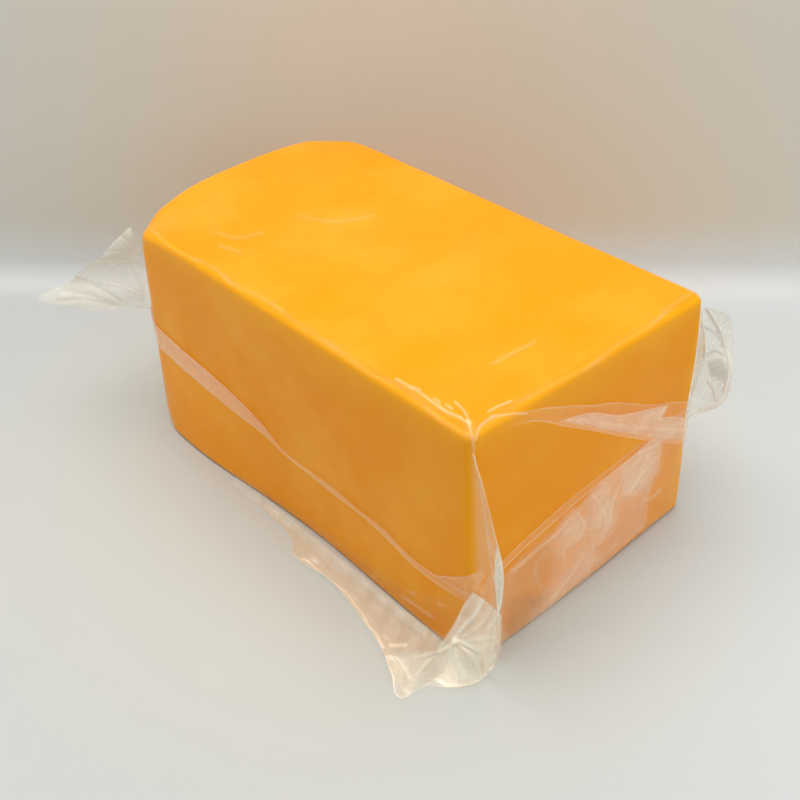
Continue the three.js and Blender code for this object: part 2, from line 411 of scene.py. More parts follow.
@dataclass(frozen=True)
class CheeseFinish:
    """Coloured cheddar under tight film: satin, faintly mottled, lit a little way in, and with a painted glow
    along its edges.

    Each kind of spots is given by scale, detail, and the noise where they start and where they are full.
    """

    deep: Numbers = (0.9, 0.295, 0.0, 1.0)
    body: Numbers = (0.95, 0.33, 0.0, 1.0)
    pale: Numbers = (0.99, 0.39, 0.018, 1.0)
    # The colour of the painted glow under the top rim and along the upright edges.
    rim: Numbers = (1.0, 0.41, 0.0, 1.0)
    glow: float = 6.5
    glow_weight: float = 0.2
    glow_reach: Numbers = (1.0, 0.38, 0.08)
    clouds: Numbers = (17.0, 4.0, 0.42, 0.68)
    cloud_share: float = 0.85
    patches: Numbers = (58.0, 5.0, 0.38, 0.72)
    patch_share: float = 0.3
    curd: Numbers = (900.0, 2.0, 0.3, 0.7)
    curd_share: float = 0.05
    specular: float = 0.12
    coat: float = 0.05
    coat_roughness: float = 0.12
    roughness: float = 0.36
    patch_roughness: float = 0.1
    swell: ClassVar[dict[str, float]] = {"Scale": 46.0, "Detail": 3.0}
    grain: ClassVar[dict[str, float]] = {"Scale": 420.0, "Detail": 2.0}
    grain_height: float = 0.06
    relief: float = 0.35
    relief_depth: float = 1.2

    def material(self) -> bpy.types.Material:
        """Makes the material.

        Returns:
            The material.
        """
        material, bench, shader = new_material("coloured_cheddar")
        place = bench.place()
        clouds = bench.spots(place, *self.clouds)
        patches = bench.spots(place, *self.patches)
        curd = bench.spots(place, *self.curd)
        mottled = bench.mix(bench.math("MULTIPLY", clouds, self.cloud_share), self.body, self.pale)
        dappled = bench.mix(bench.math("MULTIPLY", patches, self.patch_share), mottled, self.deep)
        grained = bench.mix(bench.math("MULTIPLY", curd, self.curd_share), dappled, self.pale)
        # Painted glow: the edge attribute mixes in the rim colour under the top rim and along the upright
        # edges.
        painted_glow = bench.mix(bench.attribute("edge"), grained, self.rim)
        for name, value in (
            ("Subsurface Weight", self.glow_weight),
            ("Subsurface Radius", self.glow_reach),
            ("Subsurface Scale", self.glow * MM),
            ("Specular IOR Level", self.specular),
            ("Coat Weight", self.coat),
            ("Coat Roughness", self.coat_roughness),
        ):
            shader.inputs[name].default_value = value
        rough = bench.math("MULTIPLY_ADD", patches, self.patch_roughness, self.roughness)
        swell = bench.add("TexNoise", {"Vector": place} | self.swell).outputs[0]
        grain = bench.add("TexNoise", {"Vector": place} | self.grain).outputs[0]
        height = bench.math("MULTIPLY_ADD", grain, self.grain_height, swell)
        ups = {"Height": height, "Strength": self.relief, "Distance": self.relief_depth * MM}
        bump = bench.add("Bump", ups)
        links = material.node_tree.links
        links.new(painted_glow, shader.inputs["Base Color"])
        links.new(rough, shader.inputs["Roughness"])
        links.new(bump.outputs[0], shader.inputs["Normal"])
        return material


@dataclass(frozen=True)
class FilmFinish:
    """Clear film that hides little where it is tight, and looks milky where it is doubled, loose or creased.

    Each alpha is what one layer hides where its look is at full strength. Bright is a painted highlight, warm
    a painted orange reflection of the cheese, and dark painted shade. What all film shares is kept once:
    streaks in the haze, given as the cheese's spots are, thin painted highlights on wrinkles along the
    swirl's middle, and a fine bump.
    """

    name: str
    clear_alpha: float
    haze_alpha: float
    # Alphas of the painted highlight, the painted reflection of the cheese and the painted shade.
    bright_alpha: float
    warm_alpha: float = 0.5
    dark_alpha: float = 0.35
    clear: Numbers = (0.62, 0.56, 0.42, 1.0)
    milky: Numbers = (0.93, 0.885, 0.73, 1.0)
    # Painted highlight colour.
    bright: Numbers = (1.0, 0.93, 0.78, 1.0)
    # Colour of the painted orange reflection of the cheese.
    warm: Numbers = (0.80, 0.40, 0.08, 1.0)
    # Painted shade colour.
    dark: Numbers = (0.40, 0.36, 0.27, 1.0)
    crinkle: float = 0.25
    index: float = 1.9
    streaks: ClassVar[Numbers] = (70.0, 5.0, 0.3, 0.75)
    streak_share: ClassVar[float] = 0.4
    least_haze: ClassVar[float] = 0.76
    swirl: ClassVar[dict[str, float]] = {"Scale": 62.0, "Detail": 2.0, "Distortion": 1.2}
    wrinkle_width: ClassVar[float] = 0.035
    wrinkle_glint_share: ClassVar[float] = 0.09
    most_alpha: ClassVar[float] = 0.95
    roughness: ClassVar[float] = 0.12
    haze_roughness: ClassVar[float] = 0.25
    fine: ClassVar[dict[str, float]] = {"Scale": 160.0, "Detail": 4.0}
    fine_depth: ClassVar[float] = 1.0

    @classmethod
    def group(cls) -> bpy.types.NodeTree:
        """The look that all the film shares, made once.

        Returns:
            A node group from the film's looks to colour, alpha, roughness and normal.
        """
        made = bpy.data.node_groups.get("clear_film_look")
        if made:
            return made
        looks = [look.name.title() for look in Look]
        alphas = [f"{look} Alpha" for look in ("Clear", *looks)]
        colours = [f"{look} Color" for look in ("Clear", *looks)]
        numbers = dict.fromkeys([*looks, *alphas, "Crinkle"], "Float")
        group, bench, given, result = new_group(
            "clear_film_look",
            {"Place": "Vector"} | numbers | dict.fromkeys(colours, "Color"),
            {"Color": "Color", "Alpha": "Float", "Roughness": "Float", "Normal": "Vector"},
        )
        asked = given.outputs
        streaks = bench.spots(asked["Place"], *cls.streaks)
        streaked = bench.math("MULTIPLY_ADD", streaks, cls.streak_share, cls.least_haze)
        veil = bench.math("MULTIPLY", asked["Haze"], streaked)
        # Painted highlights on thin wrinkle lines along the swirl's middle, as strong as the film is milky.
        swirl = bench.add("TexNoise", {"Vector": asked["Place"]} | cls.swirl)
        from_line = bench.math("ABSOLUTE", bench.math("SUBTRACT", swirl.outputs[0], 0.5))
        ends = {0: from_line, 1: cls.wrinkle_width, 2: 0.0}
        wrinkles = bench.add("MapRange", ends, interpolation_type="SMOOTHSTEP")
        milky = bench.math("MULTIPLY", asked["Haze"], cls.wrinkle_glint_share)
        glints = bench.math("MULTIPLY", wrinkles.outputs[0], milky)
        bright = bench.math("MAXIMUM", asked["Bright"], glints)
        colour, alpha = asked["Clear Color"], asked["Clear Alpha"]
        # Each look lays its colour over the clear film: milky haze, painted highlight, painted orange
        # reflection of the cheese, and painted shade.
        for look, share in zip(looks, (veil, bright, asked["Warm"], asked["Dark"])):
            added = bench.math("MULTIPLY", share, asked[f"{look} Alpha"])
            alpha = bench.math("ADD", alpha, added)
            colour = bench.mix(bench.math("DIVIDE", added, alpha), colour, asked[f"{look} Color"])
        fine = bench.add("TexNoise", {"Vector": asked["Place"]} | cls.fine).outputs[0]
        ups = {"Height": fine, "Strength": asked["Crinkle"], "Distance": cls.fine_depth * MM}
        bump = bench.add("Bump", ups)
        for name, socket in (
            ("Color", colour),
            ("Alpha", bench.math("MINIMUM", alpha, cls.most_alpha)),
            ("Roughness", bench.math("MULTIPLY_ADD", veil, cls.haze_roughness, cls.roughness)),
            ("Normal", bump.outputs[0]),
        ):
            group.links.new(socket, result.inputs[name])
        return group

    def material(self) -> bpy.types.Material:
        """Makes the material.

        Returns:
            The material.
        """
        material, bench, shader = new_material(self.name)
        look = bench.add("Group", node_tree=self.group())
        look.inputs["Crinkle"].default_value = self.crinkle
        look.inputs["Clear Alpha"].default_value = self.clear_alpha
        look.inputs["Clear Color"].default_value = self.clear
        effects = (
            (Look.HAZE, self.haze_alpha, self.milky),
            (Look.BRIGHT, self.bright_alpha, self.bright),
            (Look.WARM, self.warm_alpha, self.warm),
            (Look.DARK, self.dark_alpha, self.dark),
        )
        links = material.node_tree.links
        links.new(bench.place(), look.inputs["Place"])
        for effect, alpha, colour in effects:
            name = effect.name.title()
            look.inputs[f"{name} Alpha"].default_value = alpha
            look.inputs[f"{name} Color"].default_value = colour
            links.new(bench.attribute(effect.value), look.inputs[name])
        links.new(look.outputs["Color"], shader.inputs["Base Color"])
        for name in ("Alpha", "Roughness", "Normal"):
            links.new(look.outputs[name], shader.inputs[name])
        shader.inputs["IOR"].default_value = self.index
        return material


@dataclass(frozen=True)
class BackdropFinish:
    """Plain matt paper, pale in front and a little warmer up the wall. Painted light makes it paler to the
    right and at its fold, and a painted warm glow from the cheese tints it near the block.

    Its mottle is given as the cheese's spots are. Its back doesn't show.
    """

    front: Numbers = (0.57, 0.585, 0.585, 1.0)
    # Painted warm glow from the cheese on the table near the block.
    near: Numbers = (0.572, 0.585, 0.548, 1.0)
    # Painted light: the table is paler to the right.
    right: Numbers = (0.615, 0.65, 0.655, 1.0)
    # Painted light: the fold is paler.
    fold: Numbers = (0.70, 0.72, 0.71, 1.0)
    wall: Numbers = (0.62, 0.62, 0.555, 1.0)
    # Painted warm glow from the cheese on the wall near the block.
    warm: Numbers = (0.75, 0.58, 0.395, 1.0)
    warm_reach: float = 420.0
    near_reach: float = 300.0
    least_near: float = 130.0
    to_the_right: Numbers = (0.632, 0.775, 0.0)
    least_right: float = 20.0
    most_right: float = 240.0
    fold_height: float = 7.0
    from_height: float = 12.0
    to_height: float = 58.0
    mottle: Numbers = (9.0, 2.0, 0.2, 0.8)
    mottle_share: float = 0.03
    roughness: float = 0.8
    specular: float = 0.15

    def material(self) -> bpy.types.Material:
        """Makes the material.

        Returns:
            The material.
        """
        material, bench, shader = new_material("pale_paper")
        height = bench.add("SeparateXYZ", {0: bench.place()}).outputs["Z"]
        away = bench.add("VectorMath", {0: bench.place()}, operation="LENGTH").outputs["Value"]
        mottle = bench.math("MULTIPLY", bench.spots(bench.place(), *self.mottle), self.mottle_share)
        # Painted warm glow near the block, then painted light to the right.
        table = bench.mix(bench.rise(away, self.near_reach, self.least_near), self.front, self.near)
        aside = bench.add("VectorMath", {0: bench.place(), 1: self.to_the_right}, operation="DOT_PRODUCT")
        lit = bench.rise(aside.outputs["Value"], self.least_right, self.most_right)
        table = bench.mix(lit, table, self.right)
        # Painted light at the fold, and painted warm glow from the cheese up the wall.
        folded = bench.mix(bench.rise(height, 0.0, self.fold_height), table, self.fold)
        upright = bench.mix(bench.rise(away, self.warm_reach, 0.0), self.wall, self.warm)
        colour = bench.mix(bench.rise(height, self.from_height, self.to_height), folded, upright)
        mottled = bench.mix(mottle, colour, self.wall)
        material.node_tree.links.new(mottled, shader.inputs["Base Color"])
        shader.inputs["Roughness"].default_value = self.roughness
        shader.inputs["Specular IOR Level"].default_value = self.specular
        behind = bench.add("NewGeometry").outputs["Backfacing"]
        gone = bench.add("BsdfTransparent")
        shown = bench.add("MixShader", {0: behind, 1: shader.outputs[0], 2: gone.outputs[0]})
        output = material.node_tree.nodes["Material Output"]
        material.node_tree.links.new(shown.outputs[0], output.inputs["Surface"])
        return material


def deselect() -> None:
    """Clears the selection, which operators act on."""
    if bpy.context.object and bpy.context.object.mode != "OBJECT":
        bpy.ops.object.mode_set(mode="OBJECT")
    bpy.ops.object.select_all(action="DESELECT")


def select_only(piece: bpy.types.Object) -> None:
    """Selects a piece, and nothing else, for the operators.

    Args:
        piece: the piece.
    """
    deselect()
    piece.select_set(True)
    bpy.context.view_layer.objects.active = piece


def apply_modifier(piece: bpy.types.Object, kind: str, **settings: object) -> None:
    """Adds a modifier to a piece and applies it.

    Args:
        piece: the piece.
        kind: the modifier's type.
        settings: values for the modifier's settings.
    """
    select_only(piece)
    modifier = piece.modifiers.new(kind.lower(), kind)
    for name, value in settings.items():
        setattr(modifier, name, value)
    bpy.ops.object.modifier_apply(modifier=modifier.name)


def points_of(mesh: bpy.types.Mesh) -> np.ndarray:
    """The mesh's points, one a row.

    Args:
        mesh: the mesh.

    Returns:
        The points' places, in the mesh's own units.
    """
    flat = np.empty(len(mesh.vertices) * 3)
    mesh.vertices.foreach_get("co", flat)
    return flat.reshape(-1, 3)


def normals_of(mesh: bpy.types.Mesh) -> np.ndarray:
    """The mesh's point normals, one a row.

    Args:
        mesh: the mesh.

    Returns:
        The normals, each of length 1.
    """
    flat = np.empty(len(mesh.vertices) * 3)
    mesh.vertex_normals.foreach_get("vector", flat)
    return flat.reshape(-1, 3)


def set_points(mesh: bpy.types.Mesh, points: np.ndarray) -> None:
    """Puts the mesh's points at the places given."""
    mesh.vertices.foreach_set("co", np.ascontiguousarray(points, np.float32).ravel())
    mesh.update()


def set_number(mesh: bpy.types.Mesh, name: str, values: np.ndarray) -> None:
    """Keeps a number with each of the mesh's points."""
    attribute = mesh.attributes.get(name) or mesh.attributes.new(name, "FLOAT", "POINT")
    attribute.data.foreach_set("value", np.ascontiguousarray(values, np.float32))


def waves(points: np.ndarray, size: float, seed: float) -> np.ndarray:
    """Smooth noise at each point, from about -1 to 1, with swells of a size in millimetres."""
    shift = Vector((seed, seed * 1.7, seed * 2.3))
    return np.array([noise.noise(Vector(point) / (size * MM) + shift) for point in points])


def finished(
    piece: bpy.types.Object, material: bpy.types.Material, node: str
) -> bpy.types.Object:
    """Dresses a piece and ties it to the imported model.

    Args:
        piece: the piece, in place.
        material: its material.
        node: the node that it stands for.

    Returns:
        The piece.
    """
    piece.data.materials.clear()
    piece.data.materials.append(material)
    select_only(piece)
    bpy.ops.object.shade_smooth()
    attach(piece, "root")
    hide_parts(node)
    log.info("%s: %d faces", piece.name, len(piece.data.polygons))
    return piece


@dataclass
class CheeseBlock:
    """The cheese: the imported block's own form, refined, with the low swells of a pressed block.

    Its two far upright edges are eased, and the near long side runs out a little at its far end.
    """

    node: str = "cheddar_block"
    smoothing: int = 2
    swell: float = 0.22
    swell_size: float = 38.0
    swell_seed: float = 3.0
    swell_from: float = 12.0
    turn: float = 25.0
    rim_inset: float = 9.0
    weld: float = 0.01
    eased_from: float = -108.0
    eased_beside: float = 50.0
    easing: int = 8
    easing_share: float = 0.5
    far_push: float = 5.5
    far_from: float = -60.0
    far_run: float = 45.0
    side_from: float = -40.0
    side_run: float = 30.0
    push_at_foot: float = 0.4
    push_with_height: float = 0.6
    # These place the painted glow in the cheese's colour, under the top rim and along the upright edges.
    edge_glow: float = 9.0
    rim_drop: float = 3.0
    rim_end: float = 1.0
    upright_glow: float = 0.8
    upright_width: float = 5.0
    upright_drop: float = 4.0
    off_the_top: float = 4.0

    def build(self, finish: CheeseFinish) -> bpy.types.Object:
        """Makes the cheese.

        Args:
            finish: what it is dressed in.

        Returns:
            The piece.
        """
        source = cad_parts[self.node]
        cheese = bpy.data.objects.new("cheese", source.data.copy())
        bpy.context.scene.collection.objects.link(cheese)
        select_only(cheese)
        bpy.ops.object.mode_set(mode="EDIT")
        bpy.ops.mesh.select_all(action="SELECT")
        bpy.ops.mesh.remove_doubles(threshold=self.weld * MM)
        bpy.ops.mesh.select_mode(type="VERT")
        bpy.ops.mesh.select_all(action="DESELECT")
        bpy.ops.object.mode_set(mode="OBJECT")
        for vertex in cheese.data.vertices:
            x, y, _ = vertex.co / MM
            vertex.select = x < self.eased_from and abs(y) > self.eased_beside
        bpy.ops.object.mode_set(mode="EDIT")
        bpy.ops.mesh.vertices_smooth(factor=self.easing_share, repeat=self.easing)
        bpy.ops.mesh.select_all(action="SELECT")
        bpy.ops.mesh.tris_convert_to_quads()
        bpy.ops.object.mode_set(mode="OBJECT")
        bpy.ops.mesh.customdata_custom_splitnormals_clear()
        apply_modifier(cheese, "SUBSURF", levels=self.smoothing, render_levels=self.smoothing)
        points = points_of(cheese.data)
        lift = waves(points, self.swell_size, self.swell_seed) * self.swell * MM
        lift *= np.clip(points[:, 2] / (self.swell_from * MM), 0.0, 1.0)
        points += normals_of(cheese.data) * lift[:, None]
        points[:, 0] -= self.far_push * MM * self.far_edge_share(points)
        set_points(cheese.data, points)
        # The painted glow, kept with the points for the material.
        set_number(cheese.data, "edge", self.edges(points, normals_of(cheese.data)))
        self.mesh = cheese.data
        return finished(cheese, finish.material(), self.node)

    def far_edge_share(self, points: np.ndarray) -> np.ndarray:
        """How far each point goes along when the near long side runs on towards the far end.

        Args:
            points: places in metres, one a row.

        Returns:
            One number for each place, from 0 to 1.
        """
        x, y, z = (points / MM).T
        along = eased(np.clip((self.far_from - x) / self.far_run, 0.0, 1.0))
        aside = eased(np.clip((self.side_from - y) / self.side_run, 0.0, 1.0))
        return along * aside * (self.push_at_foot + self.push_with_height * z / HEIGHT)

    def edges(self, points: np.ndarray, normals: np.ndarray) -> np.ndarray:
        """How much painted glow each point gets: near the top rim, seen on the sides, and near an upright
        edge.

        Args:
            points: places in metres, one a row.
            normals: the way the cheese faces there.

        Returns:
            One number for each place, from 0 to 1.
        """
        x, y, z = (points / MM).T
        below_rim = np.exp(-np.maximum((HEIGHT - self.rim_drop - z) / self.edge_glow, 0.0))
        below_rim *= z < HEIGHT - self.rim_end
        from_corner = np.maximum(LENGTH / 2 - x, WIDTH / 2 - np.abs(y))
        upright = self.upright_glow * np.exp(-((from_corner / self.upright_width) ** 2))
        upright *= z < HEIGHT - self.upright_drop
        aside = np.clip((1.0 - normals[:, 2]) * self.off_the_top, 0.0, 1.0)
        return np.clip(np.maximum(below_rim, upright) * aside, 0.0, 1.0)

    @cached_property
    def tree(self) -> BVHTree:
        """The cheese's faces, ready for finding places on them."""
        faces = [tuple(face.vertices) for face in self.mesh.polygons]
        return BVHTree.FromPolygons([vertex.co.copy() for vertex in self.mesh.vertices], faces)

    def plan(self, distance: float) -> Vector:
        """The point of the square-cut plan at a distance round it.

        Args:
            distance: how far round the block it is.

        Returns:
            The point, in millimetres.
        """
        way = distance % ROUND
        x, y = LENGTH / 2, WIDTH / 2
        if way < EDGE_FRONT:
            return Vector((way - x, -y, 0.0))
        if way < EDGE_RIGHT:
            return Vector((x, way - EDGE_FRONT - y, 0.0))
        if way < EDGE_BACK:
            return Vector((x - (way - EDGE_RIGHT), y, 0.0))
        return Vector((-x, y - (way - EDGE_BACK), 0.0))

    def way_out(self, distance: float) -> tuple[Vector, Vector]:
        """The place inside the block that a level ray to its sides starts from, and the ray's direction.

        Args:
            distance: how far round the block the ray comes out.

        Returns:
            The place in millimetres, and the direction.
        """
        plan = self.plan(distance)
        reach = Vector((LENGTH / 2 - self.turn, WIDTH / 2 - self.turn, 0.0))
        inner = Vector((max(-reach.x, min(reach.x, plan.x)), max(-reach.y, min(reach.y, plan.y)), 0.0))
        return inner, (plan - inner).normalized()

    def on_side(self, distance: float, height: float, lift: float) -> Vector:
        """A place on the block's sides.

        Args:
            distance: how far round the block it is.
            height: its height above the table.
            lift: how far outside the cheese it is.

        Returns:
            The place, in metres.
        """
        inner, outward = self.way_out(distance)
        up = Vector((0.0, 0.0, height))
        place, normal, _, _ = self.tree.ray_cast((inner + up) * MM, outward)
        if place is None:
            place, normal, _, _ = self.tree.find_nearest((self.plan(distance) + up) * MM)
        return place + normal * (lift * MM)

    def on_rim(self, distance: float, angle: float, lift: float) -> Vector:
        """A place on the rounded top edge.

        Args:
            distance: how far round the block it is.
            angle: the way it faces: 0 outwards, 90 up.
            lift: how far outside the cheese it is.

        Returns:
            The place, in metres.
        """
        _, outward = self.way_out(distance)
        start = self.on_side(distance, HEIGHT - self.rim_inset, -self.rim_inset)
        turn = math.radians(angle)
        ray = outward * math.cos(turn) + Vector((0.0, 0.0, math.sin(turn)))
        place, normal, _, _ = self.tree.ray_cast(start, ray)
        return place + normal * (lift * MM)

    def behind(self, pixel: Spot, lift: float) -> Vector:
        """The place on the cheese that the photograph shows at a pixel, lifted off it, in metres.

        Args:
            pixel: the pixel.
            lift: how far outside the cheese the place is.

        Returns:
            The place.
        """
        start = Vector(PHOTO.stand) * MM
        place, normal, _, _ = self.tree.ray_cast(start, PHOTO.ray(pixel))
        if place is None:
            raise ValueError(f"pixel {pixel} isn't on the cheese")
        return place + normal * (lift * MM)


@dataclass
class FilmSheet:
    """A sheet of film laid over a surface, which is given by two shares from 0 to 1."""

    name: str
    surface: Surface
    columns: int
    rows: int
    haze: Shade
    # The edge paints highlights into the film, and edge_rise lifts the film where they are.
    edge: Shade | None = None
    marks: Sequence[Crease | Veil] = ()
    thickness: float = 0.15
    crinkle: float = 0.0
    crinkle_size: float = 14.0
    crinkle_from: float = 0.12
    edge_rise: float = 0.3
    closed: bool = False
    join: float = 0.02
    lowest: float = 0.15

    def build(self, material: bpy.types.Material) -> bpy.types.Object:
        """Lays the sheet.

        Args:
            material: what it is made of.

        Returns:
            The piece.
        """
        deselect()
        bpy.ops.mesh.primitive_grid_add(x_subdivisions=self.columns, y_subdivisions=self.rows, size=1.0)
        sheet = bpy.context.object
        sheet.name = sheet.data.name = self.name
        shares = points_of(sheet.data)[:, :2] + 0.5
        places = np.array([self.surface(u, v) for u, v in shares])
        set_points(sheet.data, places)
        looks, lift = self.looks(shares, PHOTO.pixels_of(places))
        if self.crinkle:
            # The length of the name starts each sheet's noise at a place of its own.
            fading_in = np.clip(shares[:, 0] / self.crinkle_from, 0.0, 1.0)
            lift += self.crinkle * fading_in * waves(places, self.crinkle_size, len(self.name))
        set_points(sheet.data, places + normals_of(sheet.data) * (lift * MM)[:, None])
        for look, values in looks.items():
            set_number(sheet.data, look.value, values)
        if self.closed:
            self.close(sheet)
        apply_modifier(sheet, "SOLIDIFY", thickness=self.thickness * MM, offset=1.0)
        points = points_of(sheet.data)
        points[:, 2] = np.maximum(points[:, 2], self.lowest * MM)
        set_points(sheet.data, points)
        return finished(sheet, material, "bag_film")

    def looks(self, shares: np.ndarray, pixels: np.ndarray) -> tuple[dict[Look, np.ndarray], np.ndarray]:
        """Works out how the film looks at each point.

        Args:
            shares: the points' two shares, one point a row.
            pixels: the pixels that show them.

        Returns:
            A number for each point and look, and how far each point is lifted.
        """
        looks = {look: np.zeros(len(shares)) for look in Look}
        looks[Look.HAZE] += [self.haze(u, v) for u, v in shares]
        # Painted highlights from the edge.
        if self.edge:
            looks[Look.BRIGHT] += [self.edge(u, v) for u, v in shares]
        lift = looks[Look.BRIGHT] * self.edge_rise
        for mark in self.marks:
            mask = mark.mask(pixels)
            looks[mark.look] = mark.laid_over(looks[mark.look], mask)
            lift += mark.rise * mask
        return looks, lift

    def close(self, sheet: bpy.types.Object) -> None:
        """Joins the sheet's two ends where they meet.

        Args:
            sheet: the sheet.
        """
        select_only(sheet)
        bpy.ops.object.mode_set(mode="EDIT")
        bpy.ops.mesh.select_all(action="SELECT")
        bpy.ops.mesh.remove_doubles(threshold=self.join * MM)
        bpy.ops.object.mode_set(mode="OBJECT")


def no_haze(u: float, v: float) -> float:
    """The haze of film that has none of its own."""
    return 0.0


@dataclass
class TightSkin:
    """The film that clings to the cheese all over."""

    block: CheeseBlock
    lift: float = 0.25
    pucker: float = 0.1
    pucker_size: float = 9.0
    pucker_seed: float = 5.0
    haze: float = 0.05
    haze_size: float = 60.0
    haze_seed: float = 9.0

    def build(self, material: bpy.types.Material) -> bpy.types.Object:
        """Makes the skin.

        Args:
            material: what it is made of.

        Returns:
            The piece.
        """
        skin = bpy.data.objects.new("bag_skin", self.block.mesh.copy())
        bpy.context.scene.collection.objects.link(skin)
        points = points_of(skin.data)
        lift = (self.lift + self.pucker * np.abs(waves(points, self.pucker_size, self.pucker_seed))) * MM
        placed = points + normals_of(skin.data) * lift[:, None]
        placed[:, 2] = np.maximum(placed[:, 2], 0.0)
        set_points(skin.data, placed)
        haze = np.clip(waves(points, self.haze_size, self.haze_seed), 0.0, 1.0) * self.haze
        set_number(skin.data, Look.HAZE.value, haze)
        # This film hides next to nothing, so bounced light passes it by, and the render is quicker.
        skin.visible_diffuse = skin.visible_glossy = False
        return finished(skin, material, "bag_film")


@dataclass
class SideSeam:
    """The bag's folded side seam, pulled flat right round the block.

    Stations give distance, lower and upper height, how milky the doubled film is, and how bright the painted
    highlights along its edges are.
    """

    block: CheeseBlock
    lift: float = 0.75
    columns: int = 560
    rows: int = 16
    edge_width: float = 0.7
    stations: Sequence[Numbers] = (
        (EDGE_FAR, 59, 74, 1.5, 0.35),
        (36, 54.5, 68, 1.5, 0.35),
        (89, 49.5, 61, 1.1, 0.35),
        (112, 48, 54, 0.8, 0.4),
        (124, 45, 47.6, 0.4, 0.5),
        (144, 43.6, 46.2, 0.3, 0.5),
        (164, 43, 47, 0.5, 0.5),
        (182, 43, 45.4, 0.4, 0.5),
        (200, 41.3, 45.2, 0.6, 0.5),
        (218, 37, 41, 0.6, 0.45),
        (EDGE_FRONT, 40, 46, 0.4, 0.2),
        (275, 49.5, 55, 0.4, 0.5),
        (300, 55.5, 61, 0.35, 0.5),
        (320, 59, 64.5, 0.3, 0.4),
        (345, 61.5, 67, 0.3, 0.25),
        (EDGE_RIGHT, 62, 70, 0.6, 0.3),
        (470, 55, 61, 0.9, 0.4),
        (580, 54, 61, 0.9, 0.4),
        (EDGE_BACK, 55, 70, 1.2, 0.35),
        (710, 53, 62, 1.2, 0.35),
        (ROUND, 59, 74, 1.5, 0.35),
    )

    def build(self, material: bpy.types.Material) -> bpy.types.Object:
        """Makes the seam.

        Args:
            material: what it is made of.

        Returns:
            The piece.
        """
        curve = SmoothCurve(self.stations)

        def surface(u: float, v: float) -> Vector:
            """The place at these shares of the way round and up."""
            lower, upper, _, _ = curve.at(u * ROUND)
            return self.block.on_side(u * ROUND, blend(lower, upper, v), self.lift)

        def haze(u: float, v: float) -> float:
            """How milky the seam is there."""
            return curve.at(u * ROUND)[2]

        def edge(u: float, v: float) -> float:
            """How bright the painted highlights along the seam's edges are there.

            Args:
                u: the share of the way round the block.
                v: the share of the way up.

            Returns:
                The brightness.
            """
            lower, upper, _, bright = curve.at(u * ROUND)
            height = (upper - lower) * v
            low, high = line_at(height, 0.0, self.edge_width), line_at(height, upper - lower, self.edge_width)
            return bright * max(low, high)

        sheet = FilmSheet("side_seam", surface, self.columns, self.rows, haze, edge, closed=True)
        return sheet.build(material)


@dataclass
class EndPleat:
    """The pleat on the near end, which opens from the front top corner down to the right edge.

    Stations give distance, lower and upper height.
    """

    block: CheeseBlock
    lift: float = 1.05
    columns: int = 200
    rows: int = 44
    # The painted highlights along the pleat's edges.
    edge_width: float = 0.8
    edge_bright: float = 0.5
    upper_edge_share: float = 0.8
    haze: float = 0.3
    fade: float = 0.22
    stations: Sequence[Numbers] = (
        (272, 125, 129.5),
        (291, 118.5, 124.5),
        (308, 106.5, 117),
        (324, 95.5, 109),
        (340, 84, 102),
        (363, 68, 88.5),
        (377, 58, 82),
        (EDGE_RIGHT, 46, 72),
    )
    facet: Sequence[Spot] = (
        (560, 421),
        (591, 413.3),
        (618.6, 416),
        (633.4, 413.3),
        (667, 406),
        (661, 419),
        (672, 417),
        (690, 420),
        (690, 440),
        (655.6, 439),
        (640.8, 436.5),
        (596.5, 428),
    )
    inner_fold: Sequence[Spot] = ((566, 420), (591, 413.3), (618.6, 416), (633.4, 413.3), (664.9, 405.9))
    tuck: Sequence[Spot] = ((664.9, 405.9), (658.5, 418.8), (672, 417), (690, 420))
    streak: Sequence[Spot] = ((600, 424), (630, 427), (660, 430), (688, 431))

    def marks(self) -> list[Crease | Veil]:
        """The milky facet, and the painted highlights along the folds round it.

        Returns:
            The pleat's marks.
        """
        return [
            Veil(self.facet, strength=1.9, soft=2.5, rise=0.3),
            Crease(self.inner_fold, width=1.1, strength=0.45),
            Crease(self.tuck, width=1.0, strength=0.5),
            Crease(self.streak, width=2.5, strength=0.3),
        ]

    def build(self, material: bpy.types.Material) -> bpy.types.Object:
        """Makes the pleat.

        Args:
            material: what it is made of.

        Returns:
            The piece.
        """
        curve = SmoothCurve(self.stations)
        first, last = self.stations[0][0], self.stations[-1][0]

        def surface(u: float, v: float) -> Vector:
            """The place at these shares of the way along and up.

            Args:
                u: the share of the way along.
                v: the share of the way up.

            Returns:
                The place, in metres.
            """
            distance = blend(first, last, u)
            lower, upper = curve.at(distance)
            return self.block.on_side(distance, blend(lower, upper, v), self.lift)

        def edge(u: float, v: float) -> float:
            """How bright the painted highlights along the pleat's edges are there.

            Args:
                u: the share of the way along.
                v: the share of the way up.

            Returns:
                The brightness.
            """
            lower, upper = curve.at(blend(first, last, u))
            height = (upper - lower) * v
            low, high = line_at(height, 0.0, self.edge_width), line_at(height, upper - lower, self.edge_width)
            return self.edge_bright * smooth_step(u, 0.0, self.fade) * max(low, self.upper_edge_share * high)

        def haze(u: float, v: float) -> float:
            """How milky the pleat is there."""
            return self.haze * smooth_step(u, 0.0, self.fade)

        sheet = FilmSheet("end_pleat", surface, self.columns, self.rows, haze, edge, marks=self.marks())
        return sheet.build(material)


